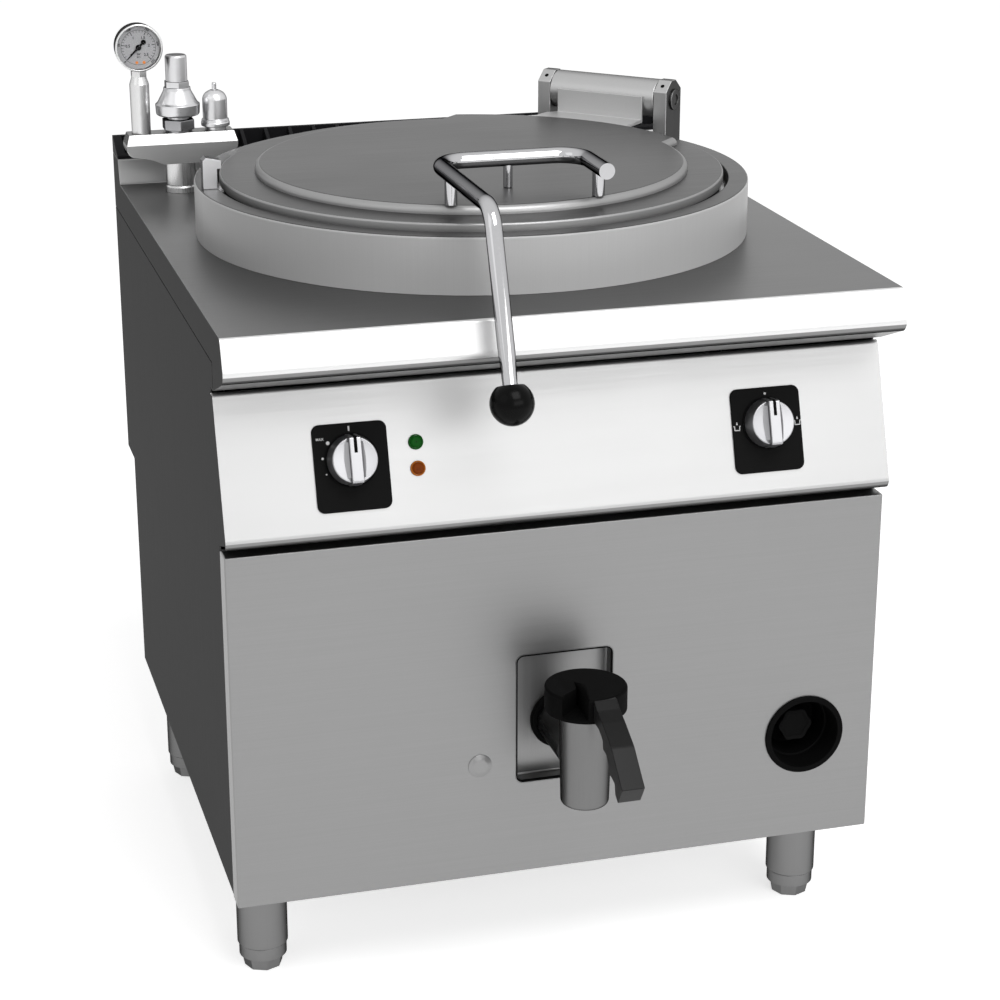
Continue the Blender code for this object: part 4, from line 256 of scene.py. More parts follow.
def slab(points, low, high, segments=6):
    # A plate with an (x, y, rounding) outline, between two heights.
    shape = bmesh.new()
    verts = [shape.verts.new((point[0], point[1], low)) for point in points]
    shape.faces.new(verts)
    roundOff(shape, verts, [point[2] for point in points], segments)
    raiseFaces(shape, shape.faces[:], (0, 0, high - low))
    return shape


def raiseFaces(shape, faces, offset):
    grown = bmesh.ops.extrude_face_region(shape, geom=faces)
    raised = [item for item in grown["geom"] if isinstance(item, bmesh.types.BMVert)]
    bmesh.ops.translate(shape, vec=offset, verts=raised)
    bmesh.ops.recalc_face_normals(shape, faces=shape.faces)
    return raised


def soften(shape, width, segments=3, angle=0.5, only=None):
    # Rounds the edges that are sharper than the angle.
    edges = [edge for edge in shape.edges if edge.is_manifold and edge.calc_face_angle(0) > angle]
    if only:
        edges = [edge for edge in edges if only(edge)]
    bmesh.ops.bevel(shape, geom=edges, offset=width, offset_type="OFFSET", segments=segments, profile=0.5,
                    affect="EDGES", clamp_overlap=True, material=-1)


def block(size, middle, width=0.0, segments=3):
    shape = bmesh.new()
    bmesh.ops.create_cube(shape, size=1)
    bmesh.ops.scale(shape, vec=size, verts=shape.verts)
    bmesh.ops.translate(shape, vec=middle, verts=shape.verts)
    if width:
        soften(shape, width, segments)
    return shape


def turned(points, steps=96, ring=False, segments=5):
    # A (radius, height, rounding) profile spun about Z; a ring's profile closes on itself.
    shape = bmesh.new()
    drawn(shape, [(point[0], 0, point[1], point[2]) for point in points], ring, segments)
    bmesh.ops.spin(shape, geom=shape.verts[:] + shape.edges[:], cent=(0, 0, 0), axis=(0, 0, 1), angle=2 * pi,
                   steps=steps, use_merge=True)
    return shape


def disc(radius, low, high, edge=0.0, foot=0.0, steps=96):
    # A round slug about Z, with its upper and lower corners rounded.
    return turned([(0, high, 0), (radius, high, edge), (radius, low, foot), (0, low, 0)], steps)


def hexagon(radius, low, high, chamfer):
    # A nut: six sides with all its sharp edges bevelled.
    shape = bmesh.new()
    bmesh.ops.create_cone(shape, cap_ends=True, segments=6, radius1=radius, radius2=radius, depth=high - low)
    bmesh.ops.translate(shape, vec=(0, 0, (low + high) / 2), verts=shape.verts)
    soften(shape, chamfer, 2)
    return shape


def tube(points, radius, bend, tip=None, sides=32, steps=12):
    # A round tube pushed along a path: straight lengths are extruded, each bend is spun.
    shape = bmesh.new()
    path = [Vector(point) for point in points]
    heading = (path[1] - path[0]).normalized()
    bmesh.ops.create_circle(shape, segments=sides, radius=radius)
    turn = Vector((0, 0, 1)).rotation_difference(heading).to_matrix().to_4x4()
    bmesh.ops.transform(shape, matrix=Matrix.Translation(path[0]) @ turn, verts=shape.verts)
    ring = shape.edges[:]
    at = path[0]
    for i in range(1, len(path)):
        ahead = (path[i + 1] - path[i]).normalized() if i + 1 < len(path) else heading
        angle = heading.angle(ahead)
        stop = path[i] - heading * (bend * math.tan(angle / 2))
        ring = pushed(shape, ring, stop - at)
        at = stop
        if angle > 0.01:
            axis = heading.cross(ahead).normalized()
            centre = at + axis.cross(heading) * bend
            spun = bmesh.ops.spin(shape, geom=ring, cent=centre, axis=axis, angle=angle, steps=steps)
            ring = [item for item in spun["geom_last"] if isinstance(item, bmesh.types.BMEdge)]
            at = centre + Matrix.Rotation(angle, 3, axis) @ (at - centre)
        heading = ahead
    if tip:
        last = list({vert for edge in ring for vert in edge.verts})
        bmesh.ops.scale(shape, vec=(tip / radius,) * 3, space=Matrix.Translation(-at), verts=last)
    bmesh.ops.holes_fill(shape, edges=shape.edges[:], sides=sides)
    return shape


def pushed(shape, ring, offset):
    grown = bmesh.ops.extrude_edge_only(shape, edges=ring)
    moved = [item for item in grown["geom"] if isinstance(item, bmesh.types.BMVert)]
    bmesh.ops.translate(shape, vec=offset, verts=moved)
    fresh = set(moved)
    edges = [item for item in grown["geom"] if isinstance(item, bmesh.types.BMEdge)]
    return [edge for edge in edges if fresh.issuperset(edge.verts)]


def joined(shapes):
    whole = bmesh.new()
    for shape in shapes:
        data = bpy.data.meshes.new("loose")
        shape.to_mesh(data)
        shape.free()
        whole.from_mesh(data)
        bpy.data.meshes.remove(data)
    return whole


def moved(shape, matrix):
    bmesh.ops.transform(shape, matrix=matrix, verts=shape.verts)
    return shape


def at(x, y, z=0.0):
    return Matrix.Translation((x, y, z))


def faceUp(shape):
    # Turns an open sheet so that its widest level face looks up.
    bmesh.ops.recalc_face_normals(shape, faces=shape.faces)
    shape.normal_update()
    widest = max(shape.faces, key=lambda face: abs(face.normal.z) * face.calc_area())
    if widest.normal.z < 0:
        bmesh.ops.reverse_faces(shape, faces=shape.faces)


def evenShading(item):
    even = item.modifiers.new("evenNormals", "WEIGHTED_NORMAL")
    even.keep_sharp = True


def piece(name, shape, body, look, place=None, stands=(), crease=32, outward=True, tidy=True):
    # Makes the finished mesh, in place, and lets it ride on its body instead of the CAD nodes it stands for.
    if tidy:
        bmesh.ops.remove_doubles(shape, verts=shape.verts, dist=0.00001)
    if outward:
        bmesh.ops.recalc_face_normals(shape, faces=shape.faces)
    if place:
        bmesh.ops.transform(shape, matrix=place, verts=shape.verts)
        if place.determinant() < 0:
            bmesh.ops.reverse_faces(shape, faces=shape.faces)
    data = bpy.data.meshes.new(name)
    shape.to_mesh(data)
    shape.free()
    for finish in look if isinstance(look, tuple) else (look,):
        data.materials.append(finish)
    data.polygons.foreach_set("use_smooth", [True] * len(data.polygons))
    data.set_sharp_from_angle(angle=math.radians(crease))
    item = bpy.data.objects.new(name, data)
    bpy.context.scene.collection.objects.link(item)
    evenShading(item)
    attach(item, body)
    if stands:
        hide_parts(*stands)
    return item


def refined(node, look, width=0.0, segments=2, crease=50, only=None, name=None):
    # A copy of a CAD node, merged, with rounded edges and smooth bends.
    source = frame["nodes"][node]
    shape = bmesh.new()
    shape.from_mesh(source.data)
    bmesh.ops.remove_doubles(shape, verts=shape.verts, dist=0.00002)
    bmesh.ops.dissolve_limit(shape, angle_limit=0.01, verts=shape.verts, edges=shape.edges)
    if width:
        soften(shape, width, segments, 0.5, only)
    words = node.split("_")
    title = name or words[0] + "".join(word.capitalize() for word in words[1:])
    return piece(title, shape, source["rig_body"], look, stands=(node,), crease=crease, tidy=False)


def walled(item, thickness):
    # Turns an open shape into a sheet that grows inwards, with even shading over its bends.
    item.modifiers.clear()
    wall = item.modifiers.new("wall", "SOLIDIFY")
    wall.thickness = thickness
    wall.offset = -1
    wall.use_even_offset = True
    evenShading(item)
    return item


def baked(item):
    # Applies the modifiers to the piece's own mesh.
    bpy.context.view_layer.update()
    graph = bpy.context.evaluated_depsgraph_get()
    data = bpy.data.meshes.new_from_object(item.evaluated_get(graph))
    item.modifiers.clear()
    item.data = data


def cutAway(item, shape, place=None):
    # Cuts one shape out of a piece.
    if place:
        moved(shape, place)
    bmesh.ops.recalc_face_normals(shape, faces=shape.faces)
    data = bpy.data.meshes.new("cutter")
    shape.to_mesh(data)
    shape.free()
    cutter = bpy.data.objects.new("cutter", data)
    bpy.context.scene.collection.objects.link(cutter)
    step = item.modifiers.new("cut", "BOOLEAN")
    step.operation = "DIFFERENCE"
    step.solver = "EXACT"
    step.object = cutter
    baked(item)
    bpy.data.objects.remove(cutter)
    item.data.set_sharp_from_angle(angle=0.55)
    evenShading(item)


def lettered(text, size, place, weight=0.0):
    # Flat lettering as a mesh, centred on its place.
    curve = bpy.data.curves.new("lettering", "FONT")
    curve.body = text
    curve.size = size
    curve.offset = weight
    curve.align_x = "CENTER"
    curve.align_y = "CENTER"
    curve.resolution_u = 3
    item = bpy.data.objects.new("lettering", curve)
    bpy.context.scene.collection.objects.link(item)
    bpy.context.view_layer.update()
    data = bpy.data.meshes.new_from_object(item.evaluated_get(bpy.context.evaluated_depsgraph_get()))
    shape = bmesh.new()
    shape.from_mesh(data)
    bpy.data.objects.remove(item)
    bpy.data.meshes.remove(data)
    return moved(shape, place)


# Worktop
worktop = {
    "sheet": 0.002,
    "skirt": 0.8082,
    "rake": math.radians(21.6),
    "noseRadius": 0.014,
    "noseHeight": 0.8122,
    "foldTilt": -0.12,
    "underTilt": -0.60,
    "noseUnder": 0.080,
    "topRadius": 0.005,
    "ridgeTop": 0.8835,
    "ridgeFront": 0.386,
    "ridgeFoot": 0.375,
    "ridgeRadius": 0.003,
    "footRadius": 0.004,
    "sideRadius": 0.0025,
    "panHole": 0.3448,
    "cut": 0.010,
    "seamShadeSize": (0.0006, 0.760, 0.016),  # black strip behind each side seam: painted shade in the gap
    "seamShadePlace": (0.3972, 0.050, 0.8075),
}


def makeWorktop():
    size = worktop
    half, rear, top = cabinet["halfWidth"], cabinet["halfDepth"], cabinet["topHeight"]
    inward = Vector((math.cos(size["rake"]), -math.sin(size["rake"])))
    upward = Vector((math.sin(size["rake"]), math.cos(size["rake"])))
    centre = Vector((size["noseRadius"] - rear, size["noseHeight"]))
    corner = centre - size["noseRadius"] * (inward + upward)
    end = corner + size["noseUnder"] * inward
    brow = corner + upward * ((top - corner.y) / upward.y)
    outline = [(rear, size["skirt"], 0), (rear, size["ridgeTop"], size["ridgeRadius"]),
               (size["ridgeFront"], size["ridgeTop"], size["ridgeRadius"]),
               (size["ridgeFoot"], top, size["footRadius"]), (*brow, size["topRadius"]),
               (*corner, size["noseRadius"]), (*end, 0), (end.x, size["skirt"], 0)]
    shape = moved(slab(outline, -half, half, 8), sideways)
    under = [face for face in shape.faces if abs(face.calc_center_median().z - size["skirt"]) < 0.0001]
    bmesh.ops.delete(shape, geom=under, context="FACES")

    def isRim(edge):
        low = size["skirt"] + size["sheet"]
        return all(abs(abs(vert.co.x) - half) < 0.0001 and vert.co.z > low for vert in edge.verts)

    soften(shape, size["sideRadius"], 4, 0.5, isRim)
    faceUp(shape)
    # Faces take lit and shaded copies of the steel by how they lie: a painted highlight on the nose, painted
    # shade on the ends, folds and underside, and painted light on the upstand's front.
    front = brow.x + size["topRadius"] / 2
    for face in shape.faces:
        middle = face.calc_center_median()
        if abs(face.normal.x) > 0.9:
            face.material_index = 2
        elif middle.y < front:
            face.material_index = 1
            if face.normal.z < size["foldTilt"]:
                face.material_index = 5 if face.normal.z < size["underTilt"] else 4
        elif face.normal.y < -0.5:
            face.material_index = 3
    looks = (topSteel, noseLitSteel, sideSteel, uprightLitSteel, foldShadeSteel, underShadeSteel)
    item = piece("worktop", shape, "root", looks, cabinetPlace, ("worktop",), outward=False)
    baked(walled(item, size["sheet"]))
    cutAway(item, disc(size["panHole"], top - size["cut"], top + size["cut"]), panPlace)
    # Black strips behind the side seams darken the gaps: painted shade.
    x, y, z = size["seamShadePlace"]
    strips = [block(size["seamShadeSize"], (side * x, y, z)) for side in (-1, 1)]
    piece("sideSeal", joined(strips), "root", softBlack, cabinetPlace)


makeWorktop()
refined("vent_grille", blackEnamel, 0.0005)
print("worktop")


# Collar, vessel and jacket
collar = {
    "radius": 0.3493,
    "land": 0.0253,
    "top": 0.9185,
    "round": 0.003,
    "innerRound": 0.002,
    "ledge": 0.9017,
    "ledgeWidth": 0.0155,
    "sheet": 0.002,
}


def makeCollar():
    size = collar
    outer, inner, top, sheet = size["radius"], size["radius"] - size["land"], size["top"], size["sheet"]
    base = cabinet["topHeight"] + clear
    low, ledge = size["ledge"], inner - size["ledgeWidth"]
    profile = [(outer, top, size["round"]), (outer, base, 0), (outer - sheet, base, 0),
               (outer - sheet, top - sheet, 0), (inner + sheet, top - sheet, 0),
               (inner + sheet, low - sheet, 0), (ledge, low - sheet, 0), (ledge, low, 0.0005),
               (inner, low, 0.0005), (inner, top, size["innerRound"])]
    shape = turned(profile, 160, True)
    # The outer wall takes the lighter collar steel and the land and inside the darker lid steel: painted
    # light and shade on one sheet.
    for face in shape.faces:
        middle = face.calc_center_median()
        face.material_index = 0 if middle.xy.length > outer - size["round"] / 2 else 1
    piece("collar", shape, "root", (collarSteel, lidSteel), panPlace, ("collar",))


makeCollar()
plainPieces = {
    "vessel": innerSteel,
    "jacket": darkSteel,
    "lid_liner": innerSteel,
    "lid_gasket": sealRubber,
    "heating_elements": darkSteel,
    "drain_pipe": fittingSteel,
    "drain_strainer": innerSteel,
    "hinge_spring": springSteel,
    "drain_plug": innerSteel,
    "cable_gland": softBlack,
    "water_inlet": brass,
    "jacket_valve_body": brass,
    "water_valve": brass,
    "power_regulator": blackPlastic,
}
for node, look in plainPieces.items():
    refined(node, look)
# The side and back panels take the dark side steel: painted shade.
for node in ("side_panel_left", "side_panel_right", "back_panel"):
    frame["nodes"][node].data.materials.clear()
    frame["nodes"][node].data.materials.append(sideSteel)
print("pan")


# Lid, with its raised crown and the pad towards the hinge
lid = {
    "radius": 0.3176,
    "sheet": 0.0015,
    "edge": 0.9150,
    "flangeTop": 0.9267,
    "flangeRound": 0.0025,
    "top": 0.9368,
    "crown": 0.273,
    "crownRound": 0.008,
    "pad": 0.300,
    "padHalf": 0.170,
    "flat": 0.9,
}


def rimmed(shape):
    # The lighter steel on all that doesn't lie flat: painted light on the rims and the crown's edge.
    shape.normal_update()
    for face in shape.faces:
        face.material_index = 0 if abs(face.normal.z) > lid["flat"] else 1


def makeLid():
    size = lid
    radius, sheet, top, edge = size["radius"], size["sheet"], size["flangeTop"], size["edge"]
    inner = radius - sheet
    shape = turned([(0, top, 0), (radius, top, size["flangeRound"]), (radius, edge, 0), (inner, edge, 0),
                    (inner, top - sheet, 0.001), (0, top - sheet, 0)], 160)
    rimmed(shape)
    piece("lidFlange", shape, "lid", (lidSteel, uprightLitSteel), acrossPlace, ("lid_shell",))

    # The crown's outline: the pad's arc across the top, the crown's arc round the rest.
    half = size["padHalf"]
    fromCrown, fromPad = math.acos(half / size["crown"]), math.acos(half / size["pad"])
    shape = bmesh.new()
    ends = []
    for reach, start, turn, steps in ((size["pad"], fromPad, pi - 2 * fromPad, 48),
                                      (size["crown"], pi - fromCrown, pi + 2 * fromCrown, 128)):
        seed = shape.verts.new((reach * math.cos(start), reach * math.sin(start), top - sheet))
        spun = bmesh.ops.spin(shape, geom=[seed], cent=(0, 0, 0), axis=(0, 0, 1), angle=turn, steps=steps)
        ends += [seed, next(item for item in spun["geom_last"] if isinstance(item, bmesh.types.BMVert))]
    shape.edges.new((ends[1], ends[2]))
    shape.edges.new((ends[3], ends[0]))
    bmesh.ops.contextual_create(shape, geom=shape.edges[:])
    raiseFaces(shape, shape.faces[:], (0, 0, size["top"] - top + sheet))
    soften(shape, size["crownRound"], 5, 0.5, lambda side: all(vert.co.z > top for vert in side.verts))
    rimmed(shape)
    piece("lidCrown", shape, "lid", (lidSteel, uprightLitSteel), acrossPlace)
    refined("lid_arm", armSteel, 0.0008)


makeLid()
print("lid")


# Hinge across the rear right corner
hinge = {
    "reach": 0.385,
    "height": 0.958,
    "tube": 0.0259,
    "wall": 0.0034,
    "half": 0.0795,
    "shaft": 0.0103,
    "head": 0.0144,
    "headThick": 0.003,
    "core": 0.010,
    "collarThick": 0.004,
    "socket": 0.007,
    "socketDeep": 0.0018,
    "thick": 0.0195,
    "front": 0.3605,
    "depth": 0.047,
    "top": 0.9846,
    "run": 0.0165,
    "drop": 0.0137,
    "edge": 0.0012,
    "grub": 0.0028,
    "grubDepth": 0.002,
}


def makeHinge():
    size = hinge
    half, tubeRadius = size["half"], size["tube"]
    lying = acrossPlace @ at(0, size["reach"], size["height"]) @ Matrix.Rotation(pi / 2, 4, "Y")
    inner = tubeRadius - size["wall"]
    edge, shaft, deep = size["edge"], size["shaft"], half - size["collarThick"]
    ringProfile = [(tubeRadius, half, edge), (tubeRadius, -half, edge), (shaft, -half, 0), (shaft, -deep, 0),
                   (inner, -deep, 0), (inner, deep, 0), (shaft, deep, 0), (shaft, half, 0)]
    piece("hingeTube", turned(ringProfile, 64, True), "lid", hingeSteel, lying, ("hinge_tube",))

    inside = half + clear
    outer = inside + size["thick"]
    tip = outer + clear + size["headThick"]
    floor = tip - size["socketDeep"]
    ends = []
    for side in (-1, 1):
        cap = [(0, floor, 0), (size["socket"], floor, 0), (size["socket"], tip, 0.0004),
               (size["head"], tip, edge), (size["head"], outer + clear, 0), (0, outer + clear, 0)]
        ends.append(moved(turned(cap, 40), Matrix.Scale(side, 4, (0, 0, 1))))
    ends.append(disc(size["core"], -outer, outer, steps=32))
    piece("hingeShaft", joined(ends), "root", barrelSteel, lying, ("hinge_shaft",))

    front, rear, top = size["front"], size["front"] + size["depth"], size["top"]
    run, drop = size["run"], size["drop"]
    base = cabinet["topHeight"] + clear
    outline = [(front, base, 0), (rear, base, 0), (rear, top - drop, 0), (rear - run, top, 0),
               (front + run, top, 0), (front, top - drop, 0)]
    lean = Vector((0, 0, 1)).rotation_difference(Vector((0, -drop, run))).to_matrix().to_4x4()
    for word, low in (("Left", -outer), ("Right", inside)):
        shape = moved(slab(outline, low, low + size["thick"]), sideways)
        soften(shape, edge, 3)
        # The bracket's flat sides take the darker barrel steel: painted shade.
        shape.normal_update()
        for face in shape.faces:
            face.material_index = 1 if abs(face.normal.x) > 0.9 else 0
        looks = (hingeSteel, barrelSteel)
        piece("hingeBracket" + word, shape, "root", looks, acrossPlace, ("hinge_bracket_" + word.lower(),))
        middle = at(low + size["thick"] / 2, front + run / 2, top - drop / 2)
        grub = disc(size["grub"], -size["grubDepth"], 0.0002, 0.0001, steps=24)
        piece("grubScrew" + word, grub, "root", softBlack, acrossPlace @ middle @ lean)


makeHinge()
print("hinge")


# Lid handle
handle = {
    "x": -0.0025,
    "half": 0.090,
    "radius": 0.00975,
    "height": 0.9725,
    "rear": -0.161,
    "bend": 0.035,
    "freeEnd": -0.267,
    "corner": -0.410,
    "dropAngle": math.radians(22.4),
    "drop": 0.2163,
    "taper": 0.060,
    "tip": 0.0075,
    "post": 0.0073,
    "postFoot": 0.0006,
    "postMiddle": 0.0055,
    "postY": -0.235,
    "ball": 0.025,
    "flat": 0.0196,
    "bore": 0.020,
    "flatRim": 0.004,
    "flatRound": 0.0006,
}


def makeHandle():
    size = handle
    left, right, height = size["x"] - size["half"], size["x"] + size["half"], size["height"]
    fall = Vector((0, -math.sin(size["dropAngle"]), -math.cos(size["dropAngle"])))
    corner = Vector((left, size["corner"], height))
    centre = corner + fall * size["drop"]
    seat = centre + fall * (size["bore"] - size["flat"] - clear)
    route = [(right, size["freeEnd"], height), (right, size["rear"], height), (left, size["rear"], height),
             corner, seat - fall * size["taper"], seat]
    bars = [tube(route, size["radius"], size["bend"], size["tip"])]
    for x, y, radius in ((left, size["postY"], size["post"]), (size["x"], size["rear"], size["postMiddle"]),
                         (right, size["postY"], size["post"])):
        post = disc(radius, lid["top"] + clear, height, 0, size["postFoot"], 32)
        bars.append(moved(post, at(x, y)))
    piece("lidHandle", joined(bars), "lid", chrome, cabinetPlace, ("lid_handle",))

    shape = bmesh.new()
    bmesh.ops.create_uvsphere(shape, u_segments=48, v_segments=32, radius=size["ball"])
    whole = shape.verts[:] + shape.edges[:] + shape.faces[:]
    bmesh.ops.bisect_plane(shape, geom=whole, plane_co=(0, 0, size["flat"]), plane_no=(0, 0, 1),
                           clear_outer=True)
    rim = [edge for edge in shape.edges if edge.is_boundary]
    bmesh.ops.edgeloop_fill(shape, edges=rim)
    flat = [face for face in shape.faces if face.calc_center_median().z > size["flat"] - 0.0001]
    bmesh.ops.inset_region(shape, faces=flat, thickness=size["flatRim"])
    soften(shape, size["flatRound"], 2, 0.6)
    place = cabinetPlace @ Matrix.Translation(centre) @ Matrix.Rotation(-size["dropAngle"], 4, "X")
    piece("handleKnob", shape, "lid", ballPlastic, place, ("handle_knob",))


makeHandle()
refined("water_spout", castSteel, 0.0010)
print("handle and spout")


# Safety group: manifold on its steam column, gauge, safety valve and vacuum breaker
group = {
    "y": 0.3195,
    "columnX": -0.324,
    "column": 0.0197,
    "columnFoot": 0.0207,
    "footHeight": 0.007,
    "footGroove": (0.0008, 0.002, 0.003),  # depth, lower and upper height over the foot
    "left": -0.397,
    "right": -0.248,
    "halfDepth": 0.020,
    "top": 0.931,
    "shoulder": 0.0135,
    "taper": 0.004,
    "low": 0.8905,
    "lift": 0.0115,
    "keel": 0.024,
    "alongShares": (0.0, 0.08, 0.30, 0.55, 0.80, 1.0),
    "riseShares": (0.0, 0.06, 0.50, 0.80, 0.95, 1.0),
    "bow": 0.012,  # rounding between the straight lengths of the hull
    "edge": 0.0008,
}


def makeManifold():
    size = group
    middle = (size["left"] + size["right"]) / 2
    reach = (size["right"] - size["left"]) / 2 - size["keel"]
    half = [(size["keel"] + along * reach, size["low"] + rise * size["lift"])
            for along, rise in zip(size["alongShares"], size["riseShares"])]
    shoulder = size["top"] - size["shoulder"]
    bow = size["bow"]
    outline = [(middle - x, z, bow) for x, z in reversed(half)] + [(middle + x, z, bow) for x, z in half]
    outline += [(size["right"], shoulder, 0), (size["left"], shoulder, 0)]
    shape = moved(slab(outline, -size["halfDepth"], size["halfDepth"]), frontwards)
    shape.normal_update()
    lidFace = [face for face in shape.faces if abs(face.calc_center_median().z - shoulder) < 0.0001]
    raised = raiseFaces(shape, lidFace, (0, 0, size["shoulder"]))
    bmesh.ops.delete(shape, geom=[face for face in lidFace if face.is_valid], context="FACES_ONLY")
    width, depth = size["right"] - size["left"], 2 * size["halfDepth"]
    shrink = (1 - 2 * size["taper"] / width, 1 - 2 * size["taper"] / depth, 1)
    bmesh.ops.scale(shape, vec=shrink, space=Matrix.Translation((-middle, 0, 0)), verts=raised)
    soften(shape, size["edge"], 2)
    place = cabinetPlace @ at(0, size["y"])
    shape.normal_update()
    # Level tops take the darker top steel, upright sides the lighter steel and the tapers the bright fitting
    # steel: painted light and shade on one casting.
    for face in shape.faces:
        face.material_index = 1 if face.normal.z > 0.9 else 2 if abs(face.normal.z) < 0.1 else 0
    piece("manifold", shape, "root", (fittingSteel, topSteel, uprightLitSteel), place, ("manifold",), crease=14)

    base = cabinet["topHeight"] + clear
    radius, high, step = size["column"], size["low"] + size["lift"], base + size["footHeight"]
    groove, grooveLow, grooveTop = size["footGroove"]
    profile = [(0, high, 0), (radius, high, 0), (radius, step + grooveTop, 0.0008),
               (radius - groove, step + grooveLow, 0.0004), (size["columnFoot"], step, 0.0008),
               (size["columnFoot"], base, 0), (0, base, 0)]
    piece("steamColumn", turned(profile, 64), "root", fittingSteel, place @ at(size["columnX"], 0))


gauge = {
    "x": -0.3745,
    "height": 1.0465,
    "radius": 0.0315,
    "front": 0.302,
    "depth": 0.028,
    "rim": 0.0027,
    "rimProud": 0.0012,
    "rimDepth": 0.006,
    "caseStart": 0.0075,
    "pocket": 0.0085,
    "dialTop": 0.0013,
    "nut": 0.0112,
    "nutHeight": 0.0080,
    "neck": 0.0097,
    "neckReach": 0.004,
    "shoulderRadius": 0.013,
    "shoulderDrop": 0.010,
    "foot": 0.0126,
    "ink": 0.0001,
    "scaleRing": (0.0226, 0.0230),
    "scaleEnds": math.radians(135),
    "ticks": 25,
    "tick": (0.0005, 0.0032),  # width, length
    "longTick": (0.0008, 0.0052),
    "longEvery": 5,
    "numbers": ("0", "0.5", "1", "1.5", "2", "2.5"),
    "numberReach": 0.0140,
    "numberSize": 0.0052,
    "bold": 0.00012,
    "outerReach": 0.0257,
    "outerStep": 50,
    "smallSize": 0.0040,
    "captions": ((-0.0085, "bar"), (-0.0125, "0.1")),
    "dot": 0.0019,
    "dotX": (-0.0030, 0.0065),
    "dotY": -0.0198,
    "lens": (0.0012, 0.0016, 0.0030, 0.0026),  # depths: outer middle and edge, inner edge and middle
    "restAngle": math.radians(135),
    "needle": 0.021,
    "needleHalf": (0.0016, 0.0015, 0.0005),  # half widths at the tail, hub and tip
    "needleThick": 0.0008,
    "hub": 0.0037,
    "hubTop": 0.0022,
    "tail": 0.0095,
    "tailRadius": 0.0034,
    "tailThick": 0.0009,
}


def makeGauge():
    size = gauge
    base, nutTop = group["top"] + clear, size["height"] - size["radius"] - clear
    nut = nutTop - size["nutHeight"]
    neckTop = nut + size["neckReach"]
    stand = cabinetPlace @ at(size["x"], group["y"])
    stem = [(0, neckTop, 0), (size["neck"], neckTop, 0), (size["neck"], nut, 0.001),
            (size["shoulderRadius"], nut - size["shoulderDrop"], 0.002), (size["foot"], base, 0),
            (0, base, 0)]
    shapes = [turned(stem, 48), hexagon(size["nut"], nut, nutTop, 0.0006)]
    piece("gaugeColumn", joined(shapes), "root", fittingSteel, stand, ("gauge_column",))

    facing = cabinetPlace @ at(size["x"], size["front"], size["height"]) @ frontwards
    outer, inner, back = size["radius"], size["radius"] - size["rim"], -size["pocket"]
    waist = outer - size["rimProud"]
    case = [(0, back, 0), (inner, back, 0), (inner, 0, 0.0006), (outer, 0, 0.0014),
            (outer, -size["rimDepth"], 0.0006), (waist, -size["caseStart"], 0.0006),
            (waist, -size["depth"], 0.003), (0, -size["depth"], 0)]
    shape = turned(case, 96)
    shape.normal_update()
    for face in shape.faces:
        outside = abs(face.normal.z) < 0.3 and face.calc_center_median().xy.length > inner
        face.material_index = 1 if outside else 0
    piece("gaugeCase", shape, "root", (fittingSteel, darkSteel), facing, ("gauge_case",))
    face = back + size["dialTop"]
    dial = disc(inner - 0.0004, back + clear, face, clear)
    piece("gaugeDial", dial, "root", dialWhite, facing, ("gauge_dial",))
    makeScale(facing, face)

    top, topEdge, lowEdge, low = size["lens"]
    lens = [(0, -top, 0), (inner - clear, -topEdge, 0), (inner - clear, -lowEdge, 0), (0, -low, 0)]
    piece("gaugeLens", turned(lens, 64), "root", clearLens, facing, ("gauge_lens",))
    tail, middle, tip = size["needleHalf"]
    thick, start, end = size["needleThick"], -size["tail"], size["needle"]
    level = face + thick
    pointer = slab([(-tail, start, 0), (tail, start, 0), (middle, 0, 0), (tip, end, 0), (-tip, end, 0),
                    (-middle, 0, 0)], level, level + thick)
    hub = disc(size["hub"], face + 2 * size["ink"], level + size["hubTop"], 0.0005, steps=32)
    weight = disc(size["tailRadius"], level, level + size["tailThick"], steps=24)
    shape = joined([pointer, hub, moved(weight, at(0, start))])
    turn = Matrix.Rotation(size["restAngle"], 4, "Z")
    piece("gaugeNeedle", shape, "gauge_needle", dialBlack, facing @ turn, ("gauge_needle",))


def makeScale(facing, face):
    # Printed scale: a thin ring, ticks and two rows of numbers, clockwise from the lower left.
    size = gauge
    ink, ends, small = size["ink"], size["scaleEnds"], size["smallSize"]
    inner, outer = size["scaleRing"]
    ring = [(inner, face + ink, 0), (outer, face + ink, 0), (outer, face, 0), (inner, face, 0)]
    marks = [turned(ring, 64, True)]
    for i in range(size["ticks"] + 1):
        wide, tall = size["tick"] if i % size["longEvery"] else size["longTick"]
        tick = block((wide, tall, ink), (0, outer - tall / 2, face + ink / 2))
        marks.append(moved(tick, Matrix.Rotation(ends - 2 * ends * i / size["ticks"], 4, "Z")))
    for i, text in enumerate(size["numbers"]):
        turn = Matrix.Rotation(ends - 2 * ends * i / (len(size["numbers"]) - 1), 4, "Z")
        spot = turn @ Vector((0, size["numberReach"], face + 2 * ink))
        marks.append(lettered(text, size["numberSize"], Matrix.Translation(spot), size["bold"]))
        spot = turn @ Vector((0, size["outerReach"], face + 2 * ink))
        marks.append(lettered(str(i * size["outerStep"]), small, Matrix.Translation(spot) @ turn, ink))
    for height, text in size["captions"]:
        marks.append(lettered(text, small, at(0, height, face + 2 * ink), ink))
    piece("gaugeScale", joined(marks), "root", dialBlack, facing, outward=False, tidy=False)
    dots = [moved(disc(size["dot"], face, face + clear, steps=16), at(x, size["dotY"])) for x in size["dotX"]]
    piece("gaugeDots", joined(dots), "root", dialOrange, facing)


